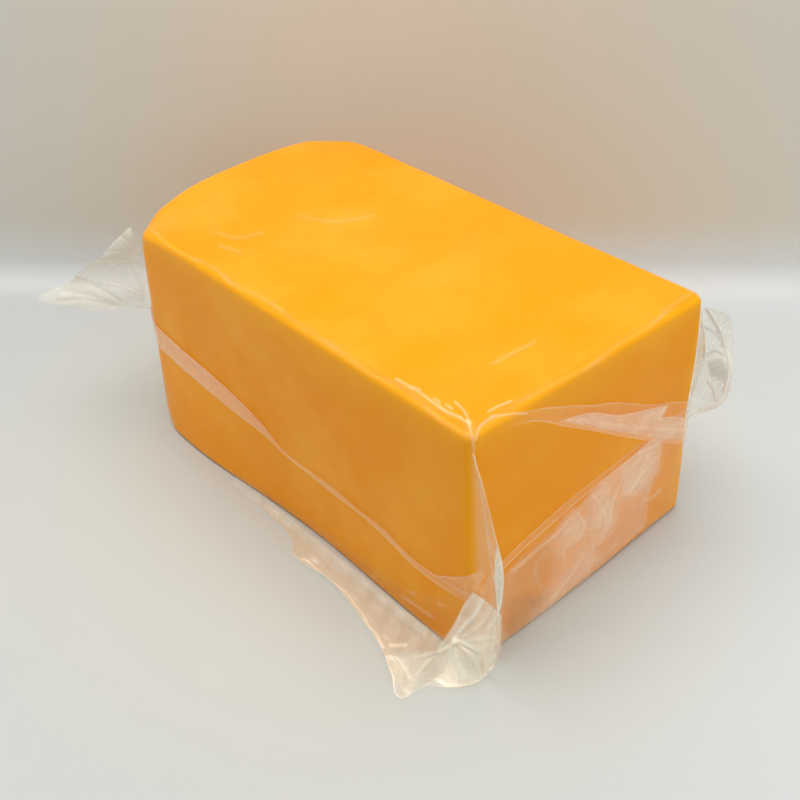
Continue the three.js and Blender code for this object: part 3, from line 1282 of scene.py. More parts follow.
@dataclass
class EndSlack:
    """The film that hangs loose and milky over the lower half of the near end."""

    block: CheeseBlock
    lift: float = 0.5
    columns: int = 190
    rows: int = 100
    foot: float = 0.8
    haze: float = 0.35
    haze_fades_from: float = 0.86
    crinkle: float = 0.25
    top: Sequence[Numbers] = (
        (252, 44),
        (275, 50),
        (300, 56),
        (320, 60),
        (345, 63),
        (372, 66),
        (EDGE_RIGHT + 2, 66),
    )
    loose: Sequence[Spot] = (
        (498, 585),
        (509, 572),
        (533, 550),
        (551, 536),
        (563, 520),
        (575, 510),
        (591, 494),
        (599, 482),
        (615, 468),
        (635, 450),
        (647, 440),
        (660, 440),
        (659, 460),
        (653, 478),
        (648, 496),
        (646, 524),
        (510, 640),
        (498, 650),
    )
    left_part: Sequence[Spot] = (
        (498, 585),
        (533, 550),
        (548, 540),
        (556, 562),
        (544, 592),
        (520, 630),
        (498, 650),
    )
    upper_patch: Sequence[Spot] = (
        (635, 452),
        (659, 441),
        (656, 470),
        (643, 490),
        (623, 497),
        (617, 484),
        (623, 466),
    )
    middle_patch: Sequence[Spot] = (
        (591, 494),
        (609, 484),
        (615, 496),
        (613, 520),
        (603, 536),
        (591, 544),
        (587, 526),
        (588, 508),
    )
    lower_patch: Sequence[Spot] = (
        (563, 520),
        (575, 510),
        (586, 520),
        (584, 534),
        (573, 543),
        (562, 550),
        (558, 534),
    )
    foot_streak: Sequence[Spot] = (
        (583, 548),
        (572, 560),
        (562, 578),
        (548, 597),
        (531, 620),
        (546, 608),
        (563, 596),
        (582, 579),
        (599, 560),
        (594, 548),
    )
    # A patch of painted shade low on the near end.
    low_shade: Sequence[Spot] = ((509, 600), (528, 594), (547, 596), (532, 618), (510, 638), (503, 640))
    ring: Sequence[Spot] = (
        (548, 549),
        (562, 554),
        (565, 568),
        (558, 584),
        (546, 590),
        (537, 583),
        (535, 566),
        (548, 549),
    )
    glints: Sequence[Sequence[Spot]] = (
        ((512, 571), (534, 551), (552, 537), (566, 521)),
        ((637, 453), (652, 446), (658, 443)),
        ((627, 494), (637, 478), (650, 461)),
        ((592, 496), (601, 508), (604, 520), (598, 536)),
        ((576, 511), (582, 524), (577, 540)),
        ((617, 486), (610, 505), (606, 526), (597, 544)),
        ((548, 600), (562, 584), (578, 563)),
        ((600, 565), (622, 546), (641, 527)),
        ((640, 500), (652, 497), (660, 489)),
    )
    glint_width: float = 1.1

    def marks(self) -> list[Crease | Veil]:
        """The milky patches, painted shade on the left part and low down, and painted highlights along the
        small folds.

        Returns:
            The loose film's marks.
        """
        return [
            Veil(self.loose, strength=1.25, soft=3.0, rise=0.4),
            # The left part: milky, with painted shade.
            Veil(self.left_part, strength=0.55, soft=9.0),
            Veil(self.left_part, strength=0.2, soft=9.0, look=Look.DARK),
            Veil(self.foot_streak, strength=1.9, soft=8.0, rise=0.3),
            Veil(self.lower_patch, strength=1.9, soft=7.0, rise=0.4),
            Veil(self.middle_patch, strength=2.3, soft=8.0, rise=0.5),
            Veil(self.upper_patch, strength=2.4, soft=8.0, rise=0.5),
            Veil(self.low_shade, strength=0.5, soft=8.0, look=Look.DARK),
            # Painted highlights along the small folds.
            Crease(self.ring, width=1.6, strength=0.22),
            *(Crease(path, width=self.glint_width, strength=0.4, rise=0.3) for path in self.glints),
        ]

    def build(self, material: bpy.types.Material) -> bpy.types.Object:
        """Makes the loose film.

        Args:
            material: what it is made of.

        Returns:
            The piece.
        """
        top = SmoothCurve(self.top)
        first, last = self.top[0][0], self.top[-1][0]

        def surface(u: float, v: float) -> Vector:
            """The place at these shares of the way along and up."""
            distance = blend(first, last, u)
            return self.block.on_side(distance, blend(self.foot, top.at(distance)[0], v), self.lift)

        def haze(u: float, v: float) -> float:
            """How milky the film is there, apart from its patches."""
            return self.haze * (1.0 - smooth_step(v, self.haze_fades_from, 1.0))

        sheet = FilmSheet("end_slack", surface, self.columns, self.rows, haze, marks=self.marks())
        sheet.crinkle = self.crinkle
        return sheet.build(material)


@dataclass
class RimHighlight:
    """A painted highlight on the tight film along the rounded top edges, right round the block."""

    block: CheeseBlock
    lift: float = 0.42
    columns: int = 620
    rows: int = 14
    least_angle: float = 12.0
    most_angle: float = 80.0
    middle_angle: float = 48.0
    wander: float = 18.0
    wander_size: float = 30.0
    wander_seed: float = 2.0
    glint: float = 0.3
    least_glint: float = 0.35
    glint_change: float = 1.3
    glint_angle: float = 4.5
    glint_size: float = 17.0
    glint_seed: float = 7.0

    def build(self, material: bpy.types.Material) -> bpy.types.Object:
        """Makes the painted highlight.

        Args:
            material: what it is made of.

        Returns:
            The piece.
        """

        def surface(u: float, v: float) -> Vector:
            """The place at these shares of the way round and up the edge."""
            return self.block.on_rim(u * ROUND, blend(self.least_angle, self.most_angle, v), self.lift)

        def drift(u: float, size: float, seed: float) -> float:
            """Smooth noise round the block, which meets itself where it ends.

            Args:
                u: the share of the way round the block.
                size: how long the swells are.
                seed: where the noise starts.

            Returns:
                The noise, from about -1 to 1.
            """
            turn = 2.0 * math.pi * u
            reach = ROUND / (2.0 * math.pi * size)
            return noise.noise(Vector((math.cos(turn) * reach, math.sin(turn) * reach, seed)))

        def edge(u: float, v: float) -> float:
            """How bright the painted highlight is there.

            Args:
                u: the share of the way round the block.
                v: the share of the way up.

            Returns:
                The brightness.
            """
            angle = blend(self.least_angle, self.most_angle, v)
            middle = self.middle_angle + self.wander * drift(u, self.wander_size, self.wander_seed)
            glow = self.least_glint + self.glint_change * max(drift(u, self.glint_size, self.glint_seed), 0.0)
            return self.glint * glow * line_at(angle, middle, self.glint_angle)

        sheet = FilmSheet("rim_gloss", surface, self.columns, self.rows, no_haze, edge, closed=True)
        return sheet.build(material)


@dataclass
class FilmEar:
    """Film that stands out from an upright edge.

    Its free edge goes up stations of share of the way up, reach and height.
    """

    block: CheeseBlock
    name: str
    distance: float
    bearing: float
    foot: float
    top: float
    outline: Sequence[Numbers]
    wave: float = 3.0
    waves_up: float = 1.1
    lean: float = 2.6
    root_lift: float = 0.5
    columns: int = 80
    rows: int = 110
    root_haze: float = 0.35
    tip_haze: float = 0.35
    marks: Sequence[Crease | Veil] = ()
    # The painted highlight along the free edge: its strength and width.
    rim: float = 0.55
    rim_width: float = 0.02
    crinkle: float = 0.7
    crinkle_size: float = 11.0

    def build(self, material: bpy.types.Material) -> bpy.types.Object:
        """Makes the ear.

        Args:
            material: what it is made of.

        Returns:
            The piece.
        """
        curve = SmoothCurve(self.outline)
        outward, sideways = heading(self.bearing), heading(self.bearing + 90.0)

        def surface(u: float, v: float) -> Vector:
            """The place at these shares of the way out and up.

            Args:
                u: the share of the way out.
                v: the share of the way up.

            Returns:
                The place, in metres.
            """
            root = self.block.on_side(self.distance, blend(self.foot, self.top, v), self.root_lift)
            reach, height = curve.at(v)
            tip = root + outward * (reach * MM)
            tip.z = height * MM
            sway = self.wave * math.sin(2.0 * math.pi * self.waves_up * v + self.lean * u) * u
            return root.lerp(tip, u) + sideways * (sway * MM)

        def edge(u: float, v: float) -> float:
            """How bright the painted highlight along the ear's free edge is there."""
            return self.rim * max(line_at(u, 1.0, self.rim_width), line_at(v, 0.0, self.rim_width))

        def haze(u: float, v: float) -> float:
            """How milky the ear is there, apart from its patches."""
            return blend(self.root_haze, self.tip_haze, u)

        return FilmSheet(
            self.name,
            surface,
            self.columns,
            self.rows,
            haze,
            edge,
            marks=self.marks,
            crinkle=self.crinkle,
            crinkle_size=self.crinkle_size,
        ).build(material)


@dataclass
class FarEar(FilmEar):
    """The long pointed ear at the far near-side edge."""

    fold: Sequence[Spot] = ((73, 276), (98.3, 288), (124, 303.3))
    thin_fold: Sequence[Spot] = ((98.3, 282.9), (121.2, 286.7), (134, 291.8), (142.9, 298.9))
    spike: Sequence[Spot] = ((127, 223.5), (134, 227), (140, 235))
    spike_root: Sequence[Spot] = ((118, 236), (129, 243), (138, 262))
    tip: Sequence[Spot] = ((46, 301), (60, 289), (76, 277), (98, 288), (126, 304), (98, 309), (60, 306))
    upper: Sequence[Spot] = ((80, 273), (119, 234), (138, 228), (144, 250), (146, 298), (124, 301), (98, 286))
    folds: Sequence[Sequence[Spot]] = (
        ((86, 268), (104, 262), (124, 262), (142, 268)),
        ((104, 252), (122, 252), (141, 256)),
        ((58, 302), (84, 300), (112, 306), (143, 309)),
        ((64, 291), (90, 296), (116, 306)),
        ((120, 236), (130, 250), (134, 270), (142, 288)),
    )

    def dressed(self) -> FilmEar:
        """Adds the ear's own folds, lifted or dented and drawn with painted highlights, and its milky
        patches, and gives the ear back.

        Returns:
            The ear.
        """
        self.marks = [
            Veil(self.upper, strength=1.0, soft=6.0),
            Veil(self.tip, strength=1.3, soft=6.0),
            Crease(self.fold, width=2.2, strength=0.5, rise=0.8),
            Crease(self.thin_fold, width=1.0, strength=0.35, rise=-0.4),
            Crease(self.spike, width=1.8, strength=0.8),
            Crease(self.spike_root, width=1.6, strength=0.35),
            *(Crease(path, width=2.4, strength=0.16, rise=0.5) for path in self.folds),
        ]
        return self


@dataclass
class RightEar(FilmEar):
    """The rumpled ear at the right upright edge."""

    root_zone: Sequence[Spot] = (
        (697, 298),
        (703, 318),
        (706, 352),
        (699, 374),
        (686, 402),
        (680, 402),
        (684, 340),
        (692, 300),
    )
    outer_zone: Sequence[Spot] = (
        (706, 304),
        (726, 312),
        (737, 330),
        (737, 388),
        (716, 400),
        (706, 372),
        (712, 340),
    )
    # A patch of painted shade.
    patch: Sequence[Spot] = ((708.6, 362), (721, 358), (727, 369), (725, 382), (710, 375.5))
    dark_folds: Sequence[Sequence[Spot]] = (
        ((703, 304), (710, 317), (717, 329), (721.6, 340), (722, 348)),
        ((704.6, 328), (714, 333), (720, 340)),
        ((706, 356), (714, 352), (723, 356)),
    )
    bright_folds: Sequence[Sequence[Spot]] = (
        ((697, 383), (694, 390), (690, 397)),
        ((706, 306), (714, 320), (721, 332)),
        ((700, 312), (705, 336), (705, 358)),
        ((724, 340), (727, 356), (728, 374), (724, 392)),
        ((708, 380), (713, 388), (716, 400)),
        ((690, 411), (702, 410), (716, 407)),
    )

    def dressed(self) -> FilmEar:
        """Adds the ear's own folds, some drawn with painted shade and some with painted highlights, its milky
        zones and a patch of painted shade, and gives the ear back.

        Returns:
            The ear.
        """
        self.marks = [
            Veil(self.outer_zone, strength=1.2, soft=4.0),
            Veil(self.root_zone, strength=2.4, soft=3.0),
            # Painted shade on the patch and the dark folds, painted highlights on the bright folds.
            Veil(self.patch, strength=0.55, soft=2.5, look=Look.DARK),
            *(Crease(path, width=1.5, strength=0.5, rise=-0.5, look=Look.DARK) for path in self.dark_folds),
            *(Crease(path, width=1.3, strength=0.5, rise=0.6) for path in self.bright_folds),
        ]
        return self


@dataclass
class FrontFin(FilmEar):
    """The narrow fin of doubled film down the front upright edge."""

    band: Sequence[Spot] = (
        (497.5, 548),
        (502, 560),
        (507.5, 567),
        (508, 590),
        (505, 620),
        (503, 642),
        (498, 650),
        (499, 631),
        (497.5, 605),
        (495, 577),
    )
    strip: Sequence[Spot] = (
        (476, 452),
        (484, 480),
        (490, 510),
        (497, 550),
        (496, 580),
        (478, 580),
        (477, 500),
    )
    inner_folds: Sequence[Sequence[Spot]] = (
        ((477, 460), (482, 490), (486, 520), (490, 552), (494, 580)),
        ((492, 545), (497, 562), (499, 590), (500, 622)),
    )

    def dressed(self) -> FilmEar:
        """Adds the fin's own milky band and strip, a painted orange reflection of the cheese on the strip,
        and painted highlights along its folds, and gives the fin back.

        Returns:
            The fin.
        """
        self.marks = [
            Veil(self.strip, strength=0.35, soft=3.0),
            # Painted orange reflection of the cheese on the strip.
            Veil(self.strip, strength=0.2, soft=3.0, look=Look.WARM),
            Veil(self.band, strength=2.9, soft=1.6, rise=0.4),
            *(Crease(path, width=1.2, strength=0.3) for path in self.inner_folds),
        ]
        return self


def ears(block: CheeseBlock) -> list[FilmEar]:
    """The ears at the four upright edges.

    Args:
        block: the block that they stand out from.

    Returns:
        The far, right, back and front ear.
    """
    far_edge = (
        (0, 40, 73),
        (0.12, 62, 76.5),
        (0.34, 44, 86.5),
        (0.55, 35, 96),
        (0.78, 22, 106),
        (0.92, 13.5, 115),
        (1, 6, 121),
    )
    right_edge = (
        (0, 2, 61),
        (0.1, 9, 65),
        (0.25, 15.5, 74),
        (0.5, 16.2, 92),
        (0.75, 14.5, 109),
        (0.9, 11, 118),
        (1, 5, 122),
    )
    back_edge = ((0, 8, 59), (0.3, 22, 72), (0.6, 20, 90), (0.85, 12, 104), (1, 4, 112))
    front_edge = (
        (0, 12, 5),
        (0.21, 19, 27),
        (0.37, 22, 46),
        (0.54, 25.5, 66),
        (0.66, 25, 80.5),
        (0.74, 18, 91),
        (0.83, 13.5, 102),
        (0.92, 8, 114),
        (1, 3, 122),
    )
    return [
        FarEar(
            block,
            "ear_far",
            EDGE_FAR,
            bearing=225,
            foot=71.5,
            top=110,
            outline=far_edge,
            wave=4,
            root_haze=0.5,
            tip_haze=0.8,
            rim=0.3,
            rim_width=0.03,
        ).dressed(),
        RightEar(
            block,
            "ear_right",
            EDGE_RIGHT,
            bearing=45,
            foot=60,
            top=121,
            outline=right_edge,
            root_haze=0.9,
            tip_haze=0.7,
        ).dressed(),
        FilmEar(
            block,
            "ear_back",
            EDGE_BACK,
            bearing=135,
            foot=58,
            top=114,
            outline=back_edge,
            root_haze=0.6,
            tip_haze=0.6,
        ),
        FrontFin(
            block,
            "ear_front",
            EDGE_FRONT,
            bearing=345,
            foot=5,
            top=122,
            outline=front_edge,
            wave=1,
            columns=60,
            rows=220,
            root_haze=0.0,
            tip_haze=0.6,
            rim=0.9,
            rim_width=0.05,
            crinkle=0.3,
        ).dressed(),
    ]


@dataclass
class CornerSkirt:
    """The film that has slid down round the front corner and spreads on the table.

    Stations give the distance round the block, the bearing and reach of the outer edge from there, and the
    height where the film leaves the block. The rim's stations give the distance and how bright the painted
    highlight along the rim is.
    """

    block: CheeseBlock
    lift: float = 0.9
    floor: float = 0.4
    columns: int = 270
    rows: int = 100
    crowding: float = 0.75
    pleat_depth: float = 0.05
    pleat_pitch: float = 15.0
    curl: float = 1.6
    curl_from: float = 0.8
    haze: float = 0.35
    haze_from: float = 0.1
    haze_full: float = 0.4
    rim_width: float = 0.03
    crinkle: float = 0.5
    crinkle_size: float = 8.0
    stations: Sequence[Numbers] = (
        (80, 270, 4, 7),
        (112, 270, 6, 8),
        (136, 270, 10, 9),
        (146, 270, 17, 10),
        (152, 270, 17.5, 10),
        (174, 270, 14.6, 12),
        (201, 270, 18.2, 16),
        (222, 270, 23, 22),
        (237, 270, 30, 31),
        (246, 273, 34.5, 40),
        (251, 271, 21, 45),
        (EDGE_FRONT, 291, 16, 46),
        (259, 308, 12.5, 43),
        (266, 322, 7.5, 32),
        (276, 345, 3, 16),
    )
    # The painted highlight along the rim, which also sets how far the rim curls up.
    rim: Sequence[Numbers] = (
        (80, 0.1),
        (140, 0.1),
        (147, 1.0),
        (160, 1.2),
        (185, 0.9),
        (200, 1.1),
        (218, 0.9),
        (223, 0.35),
        (230, 0.8),
        (245, 0.9),
        (248, 0.2),
        (251, 0.5),
        (255, 0.9),
        (259, 0.8),
        (266, 0.4),
        (276, 0.1),
    )
    on_the_face: Sequence[Spot] = (
        (230, 440),
        (500, 540),
        (488, 572),
        (477.5, 588),
        (466, 604),
        (456, 623),
        (446, 639),
        (420, 621),
        (391, 598),
        (354, 569),
        (322, 543),
        (277, 507),
        (236, 470),
    )
    foot_strip: Sequence[Spot] = (
        (262, 497),
        (322, 545),
        (354, 571),
        (391, 600),
        (421, 625),
        (444, 642),
        (438, 650),
        (400, 620),
        (354, 582),
        (316, 551),
        (262, 506),
    )
    foot_line: Sequence[Spot] = ((312, 544), (340, 567), (368, 591), (396, 614), (420, 633))
    reflection_zone: Sequence[Spot] = (
        (256, 512),
        (300, 556),
        (322, 572),
        (347, 594),
        (374, 630),
        (385, 652),
        (404, 655),
        (436, 655),
        (444, 643),
        (400, 612),
        (322, 548),
        (262, 502),
    )
    wing: Sequence[Spot] = (
        (488, 572),
        (477.5, 588),
        (466, 604),
        (456, 623),
        (446, 639),
        (440, 645),
        (435, 662),
        (437, 680),
        (447, 688),
        (462, 692),
        (480, 684),
        (492, 668),
        (500, 650),
        (502, 600),
        (497, 570),
    )
    wing_reflection: Sequence[Spot] = (
        (457, 637),
        (474, 634),
        (494, 630),
        (497, 600),
        (492, 583),
        (480, 596),
        (468, 614),
    )
    wing_grey: Sequence[Spot] = (
        (446, 646),
        (474, 642),
        (496, 640),
        (488, 664),
        (476, 680),
        (456, 686),
        (442, 676),
    )
    flap: Sequence[Spot] = (
        (384, 657),
        (396, 657),
        (420, 652),
        (436, 656),
        (436, 679),
        (420, 688),
        (406, 701),
        (401, 690),
        (392, 673),
    )
    flap_shade: Sequence[Spot] = ((388, 662), (398, 661), (406, 672), (409, 684), (405, 698), (399, 684))
    knot: Spot = (454, 639)
    wing_fold: Sequence[Spot] = (
        (489, 571),
        (477.5, 588),
        (466, 604),
        (456, 623),
        (446, 638),
        (440, 646),
        (436, 662),
    )
    wing_crease: Sequence[Spot] = ((486, 588), (475, 613), (465.5, 625), (454.5, 638))
    wing_line: Sequence[Spot] = ((491, 581), (486, 602), (489, 621), (493, 632))
    skirt_fold: Sequence[Spot] = ((456, 642), (474, 639), (494, 636))
    hook: Sequence[Spot] = (
        (304, 574),
        (300, 568),
        (300, 561),
        (305, 560),
        (316, 569),
        (335, 584.5),
        (346, 593.5),
    )
    hook_inside: Sequence[Spot] = ((306, 565), (318, 575), (334, 588), (344, 595))
    outer_line: Sequence[Spot] = ((346, 593.5), (360, 611), (370, 626), (377, 635), (383, 648))
    bar: Sequence[Spot] = ((390.5, 645), (398, 645.5), (405.5, 645))
    flap_fold: Sequence[Spot] = ((384, 659), (389, 657), (397, 659), (404, 668), (409.5, 678))
    corner_rim: Sequence[Spot] = ((435.5, 679), (441, 682.5), (446, 686.5), (459, 691), (466, 689))
    pleats: Sequence[Sequence[Spot]] = (
        ((454, 641), (450, 660), (447, 681)),
        ((455, 641), (459, 664), (464, 686)),
        ((452, 642), (446, 655), (438, 672)),
        ((456, 641), (470, 655), (482, 676)),
        ((458, 640), (476, 650), (491, 662)),
        ((450, 645), (436, 652), (414, 658)),
        ((440, 652), (428, 662), (416, 676)),
        ((455, 642), (455, 664), (456, 687)),
    )
    upper_pleats: Sequence[Sequence[Spot]] = (
        ((489, 579), (481, 598), (472, 616), (462, 632)),
        ((494, 585), (490, 606), (478, 626), (464, 637)),
        ((497, 596), (496, 614), (486, 630)),
    )
    glints: Sequence[Sequence[Spot]] = (
        ((371, 575), (374, 577)),
        ((399, 566), (402, 568)),
        ((411, 592), (414, 594)),
        ((439, 604), (443, 606)),
        ((403, 596), (418, 607), (434, 618)),
    )

    def marks(self) -> list[Crease | Veil]:
        """The skirt's milky parts, its painted orange reflection of the cheese and painted shade, and its
        folds, drawn with painted highlights.

        Returns:
            The skirt's marks.
        """
        return [
            # Milky film with a painted orange reflection of the cheese and painted shade.
            Veil(self.reflection_zone, strength=0.5, soft=9.0),
            Veil(self.reflection_zone, strength=0.36, soft=9.0, look=Look.WARM),
            Veil(self.reflection_zone, strength=0.14, soft=9.0, look=Look.DARK),
            # Milky film along the foot, with painted shade.
            Veil(self.foot_strip, strength=0.9, soft=3.5),
            Veil(self.foot_strip, strength=0.3, soft=3.5, look=Look.DARK),
            # The flap: milky, with a little painted reflection of the cheese, and painted shade in
            # flap_shade.
            Veil(self.flap, strength=1.4, soft=4.0),
            Veil(self.flap, strength=0.12, soft=6.0, look=Look.WARM),
            Veil(self.flap_shade, strength=0.35, soft=2.5, look=Look.DARK),
            Veil(self.on_the_face, strength=0.0, soft=1.2),
            Veil(self.on_the_face, strength=0.0, soft=1.2, look=Look.WARM),
            Veil(self.on_the_face, strength=0.0, soft=1.2, look=Look.DARK),
            # The wing: milky, with a painted orange reflection of the cheese.
            Veil(self.wing, strength=2.0, soft=2.0, rise=0.3),
            Veil(self.wing, strength=0.1, soft=3.0, look=Look.WARM),
            Veil(self.wing_reflection, strength=0.25, soft=6.0, look=Look.WARM),
            Veil(self.wing_grey, strength=2.8, soft=6.0),
            # A painted shadow along the block's foot; after it, folds drawn with painted highlights, and
            # wing_line with a painted reflection of the cheese.
            Crease(self.foot_line, width=4.0, strength=0.8, look=Look.DARK),
            Crease(self.wing_fold, width=1.3, strength=0.5),
            Crease(self.wing_crease, width=1.7, strength=0.95),
            Crease(self.wing_line, width=1.3, strength=0.5, look=Look.WARM),
            Crease(self.skirt_fold, width=2.2, strength=0.4),
            Crease((self.knot, (455, 640)), width=2.4, strength=1.2, rise=0.8),
            Crease(self.hook, width=1.5, strength=1.2, rise=0.5),
            Crease(self.hook_inside, width=1.1, strength=0.7),
            Crease(self.outer_line, width=1.3, strength=1.1),
            Crease(self.bar, width=1.7, strength=1.0),
            Crease(self.flap_fold, width=2.0, strength=0.6, rise=0.6),
            Crease(self.corner_rim, width=1.3, strength=1.1),
            # Painted highlights along the pleats and small glints.
            *(Crease(path, width=1.5, strength=0.45, rise=0.6) for path in self.pleats),
            *(Crease(path, width=1.6, strength=0.35, rise=0.4) for path in self.upper_pleats),
            *(Crease(path, width=1.3, strength=0.14) for path in self.glints),
        ]

    def build(self, material: bpy.types.Material) -> bpy.types.Object:
        """Makes the skirt.

        Args:
            material: what it is made of.

        Returns:
            The piece.
        """
        drape, rim = SmoothCurve(self.stations), SmoothCurve(self.rim)
        first, last = self.stations[0][0], self.stations[-1][0]

        def distance_at(u: float) -> float:
            """The distance round the block, with the columns closer together near the corner."""
            return blend(first, last, u**self.crowding)

        def surface(u: float, v: float) -> Vector:
            """The place at these shares of the way round and from the rim up to the block.

            Args:
                u: the share of the way round.
                v: the share of the way from the rim up.

            Returns:
                The place, in metres.
            """
            distance, out = distance_at(u), 1.0 - v
            bearing, reach, rise = drape.at(distance)
            ripple = math.sin(2.0 * math.pi * distance / self.pleat_pitch) * math.sin(math.pi * out)
            place = self.block.on_side(distance, rise, self.lift)
            place += heading(bearing) * ((reach * out + self.pleat_depth * rise * ripple) * MM)
            curl = self.curl * rim.at(distance)[0] * smooth_step(out, self.curl_from, 1.0)
            place.z = (self.floor + (rise - self.floor) * (1.0 - out) ** 2 + curl) * MM
            return place

        def edge(u: float, v: float) -> float:
            """How bright the painted highlight along the rim is there."""
            return rim.at(distance_at(u))[0] * line_at(v, 0.0, self.rim_width)

        def haze(u: float, v: float) -> float:
            """How milky the skirt is there, apart from its patches."""
            return self.haze * smooth_step(1.0 - v, self.haze_from, self.haze_full)

        return FilmSheet(
            "corner_skirt",
            surface,
            self.columns,
            self.rows,
            haze,
            edge,
            marks=self.marks(),
            crinkle=self.crinkle,
            crinkle_size=self.crinkle_size,
        ).build(material)


@dataclass
class FilmPatch:
    """A stretch of the tight film with small tucks in it, drawn with painted highlights, as large as a
    rectangle of the photograph.
    """

    block: CheeseBlock
    name: str
    left: float
    right: float
    upper: float
    lower: float
    marks: Sequence[Crease | Veil]
    lift: float = 0.6

    def build(self, material: bpy.types.Material) -> bpy.types.Object:
        """Makes the patch.

        Args:
            material: what it is made of.

        Returns:
            The piece.
        """

        def surface(u: float, v: float) -> Vector:
            """The place at these shares of the way across and up."""
            pixel = (blend(self.left, self.right, u), blend(self.lower, self.upper, v))
            return self.block.behind(pixel, self.lift)

        columns, rows = int(self.right - self.left), int(self.lower - self.upper)
        return FilmSheet(self.name, surface, columns, rows, no_haze, marks=self.marks).build(material)


# Painted highlights along small tucks near the front corner.
TUCKS_AT_CORNER = (
    ((488.2, 411.7), (499.4, 406.1), (511.6, 401)),
    ((491.2, 416.3), (503.5, 415.3), (514.7, 413.3), (526, 413.8)),
    ((468.8, 420.4), (470.8, 430.6), (472.9, 442.9), (474, 452)),
    ((474.9, 440.8), (479, 428.6), (487.1, 420.4), (495.3, 416.3)),
    ((436, 404), (450, 413), (463.7, 420.4), (468.8, 425.5)),
    ((396, 379), (415, 390), (432, 401)),
    ((446, 405), (452, 409)),
    ((434, 399), (440, 403)),
    ((408, 386), (420, 390)),
    ((424, 396), (446, 412), (462, 418)),
    ((455, 402), (464, 411), (468, 419)),
)
# A painted highlight at the front corner.
CORNER_GLINT = ((467.5, 421.5), (469.5, 423.5))
# A painted highlight along the seam's upper edge where it ends, and milky film below it.
SEAM_END_UPPER = ((438, 576.5), (453, 578), (466, 577), (482, 571.5))
SEAM_END_FILL = ((438, 576), (466, 577), (483, 571), (480, 586), (470, 601), (453, 588))
# Faint lines on the top, drawn as painted highlights.
NEAR_LINE_ON_TOP = ((465, 379), (500, 360), (535, 342))
LINES_ON_TOP = (
    ((214, 232), (236, 238), (262, 233)),
    ((220, 246), (240, 252)),
    ((300, 216), (336, 222), (372, 216)),
)


def patches(block: CheeseBlock) -> list[FilmPatch]:
    """The stretches of tight film that have tucks or faint lines in them, drawn with painted highlights.

    Args:
        block: the block that they lie on.

    Returns:
        The tucks beside the front corner, and the faint lines on the top.
    """
    tucks = [Crease(path, width=1.0, strength=0.62) for path in TUCKS_AT_CORNER]
    tucks.append(Crease(CORNER_GLINT, width=1.9, strength=1.3))
    lines = [Crease(path, width=1.8, strength=0.12) for path in LINES_ON_TOP]
    near_line = [Crease(NEAR_LINE_ON_TOP, width=1.8, strength=0.16)]
    seam_end = [Veil(SEAM_END_FILL, strength=0.7), Crease(SEAM_END_UPPER, width=0.9, strength=0.5)]
    return [
        FilmPatch(block, "seam_end", left=432, right=486, upper=564, lower=606, marks=seam_end),
        FilmPatch(block, "corner_tucks", left=384, right=566, upper=366, lower=462, marks=tucks),
        FilmPatch(block, "top_lines", left=205, right=480, upper=210, lower=260, marks=lines),
        FilmPatch(block, "near_top_line", left=440, right=560, upper=330, lower=366, marks=near_line),
    ]


@dataclass(frozen=True)
class Softbox:
    """A square soft light. Its power is in watts."""

    name: str
    place: Numbers
    size: float
    power: float
    colour: Numbers = (1.0, 1.0, 1.0)


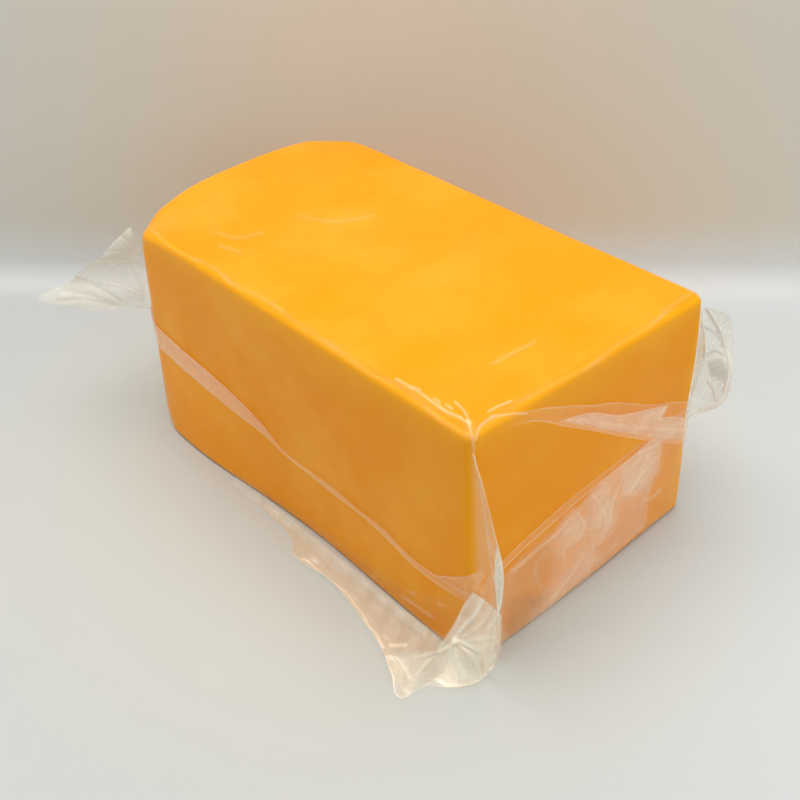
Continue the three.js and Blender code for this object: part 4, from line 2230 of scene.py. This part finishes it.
@dataclass
class Studio:
    """The pale table and wall, and the lights."""

    wall_behind: float = 172.0
    wall_turn: float = 43.2
    breadth: float = 3200.0
    front: float = 1500.0
    wall: float = 1400.0
    fold: float = 22.0
    fold_steps: int = 10
    near_fold: float = 1.0
    table_drop: float = 0.5
    softboxes: Sequence[Softbox] = (
        Softbox("softbox_top", (-60.0, 0.0, 950.0), size=800.0, power=9.4, colour=(1.0, 0.99, 0.97)),
        Softbox("softbox_left", (-500.0, -850.0, 520.0), size=600.0, power=1.35),
        Softbox("softbox_right", (900.0, 120.0, 480.0), size=600.0, power=2.0),
    )
    aim_height: float = 60.0
    room: Numbers = (0.95, 0.97, 1.0, 1.0)
    room_strength: float = 0.42

    def backdrop(self, finish: BackdropFinish) -> None:
        """Makes the sweep of paper, and the table beyond it.

        Args:
            finish: what it is made of.
        """
        turn = math.radians(self.wall_turn)
        deselect()
        bpy.ops.mesh.primitive_plane_add(size=1.0)
        sweep = bpy.context.object
        sweep.name = "sweep"
        bpy.ops.object.mode_set(mode="EDIT")
        bpy.ops.mesh.select_all(action="SELECT")
        depth = self.front + self.wall_behind
        fold_from = (self.wall_behind - self.near_fold) * MM
        bpy.ops.transform.resize(value=(self.breadth * MM, depth * MM, 1.0))
        bpy.ops.transform.translate(value=(0.0, (self.wall_behind - depth / 2) * MM, 0.0))
        bpy.ops.mesh.select_all(action="DESELECT")
        bpy.ops.object.mode_set(mode="OBJECT")
        for edge in sweep.data.edges:
            middle = sum((sweep.data.vertices[end].co.y for end in edge.vertices)) / 2
            edge.select = middle > fold_from
        bpy.ops.object.mode_set(mode="EDIT")
        bpy.ops.mesh.select_mode(type="EDGE")
        bpy.ops.mesh.extrude_region_move(TRANSFORM_OT_translate={"value": (0.0, 0.0, self.wall * MM)})
        bpy.ops.object.mode_set(mode="OBJECT")
        for edge in sweep.data.edges:
            ends = [sweep.data.vertices[end].co for end in edge.vertices]
            edge.select = all(end.z < self.near_fold * MM and end.y > fold_from for end in ends)
        bpy.ops.object.mode_set(mode="EDIT")
        bpy.ops.mesh.bevel(offset=self.fold * MM, segments=self.fold_steps)
        bpy.ops.mesh.select_all(action="SELECT")
        bpy.ops.transform.rotate(value=-turn, orient_axis="Z", center_override=(0.0, 0.0, 0.0))
        bpy.ops.object.mode_set(mode="OBJECT")
        bpy.ops.object.shade_smooth()
        sweep.data.materials.append(finish.material())
        deselect()
        place = (0.0, 0.0, -self.table_drop * MM)
        bpy.ops.mesh.primitive_plane_add(size=2 * self.breadth * MM, location=place)
        table = bpy.context.object
        table.name = "table"
        bpy.ops.object.transform_apply(location=True)
        table.data.materials.append(sweep.data.materials[0])
        log.info("backdrop: the wall is %.0f mm behind the block", self.wall_behind)

    def lights(self) -> None:
        """Adds the soft lights, which look at the block, and the light of the room."""
        for softbox in self.softboxes:
            bpy.ops.object.light_add(type="AREA", location=Vector(softbox.place) * MM)
            lamp = bpy.context.object
            lamp.name = softbox.name
            lamp.data.size = softbox.size * MM
            lamp.data.energy = softbox.power
            lamp.data.color = softbox.colour
            aim = Vector((0.0, 0.0, self.aim_height * MM)) - lamp.location
            lamp.rotation_euler = aim.to_track_quat("-Z", "Y").to_euler()
        world = bpy.data.worlds.new("room")
        world.use_nodes = True
        background = world.node_tree.nodes["Background"]
        background.inputs["Color"].default_value = self.room
        background.inputs["Strength"].default_value = self.room_strength
        bpy.context.scene.world = world
        log.info("%d soft lights and the light of the room", len(self.softboxes))


def main() -> None:
    """Builds the cheese, its bag and the studio."""
    logging.basicConfig(level=logging.INFO, format="%(name)s: %(message)s")
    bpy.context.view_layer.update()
    scene = bpy.context.scene
    scene.view_settings.view_transform = "Standard"
    scene.cycles.transparent_max_bounces = MOST_FILM_LAYERS
    PHOTO.camera()
    studio = Studio()
    studio.backdrop(BackdropFinish())
    studio.lights()
    block = CheeseBlock()
    block.build(CheeseFinish())
    tight = FilmFinish(
        "tight_film",
        clear_alpha=0.003,
        haze_alpha=0.2,
        bright_alpha=0.32,
        milky=(0.95, 0.79, 0.57, 1.0),
        # The tight film's painted highlight and painted shade colours.
        bright=(1.0, 0.83, 0.55, 1.0),
        dark=(0.42, 0.24, 0.07, 1.0),
        crinkle=0.15,
    ).material()
    loose = FilmFinish("loose_film", clear_alpha=0.02, haze_alpha=0.24, bright_alpha=0.5).material()
    clinging = (TightSkin(block), SideSeam(block), EndPleat(block), EndSlack(block), RimHighlight(block))
    for piece in (*clinging, *patches(block)):
        piece.build(tight).visible_shadow = False
    for piece in ears(block):
        piece.build(loose)
    CornerSkirt(block).build(loose).visible_shadow = False


if __name__ == "__main__":
    main()
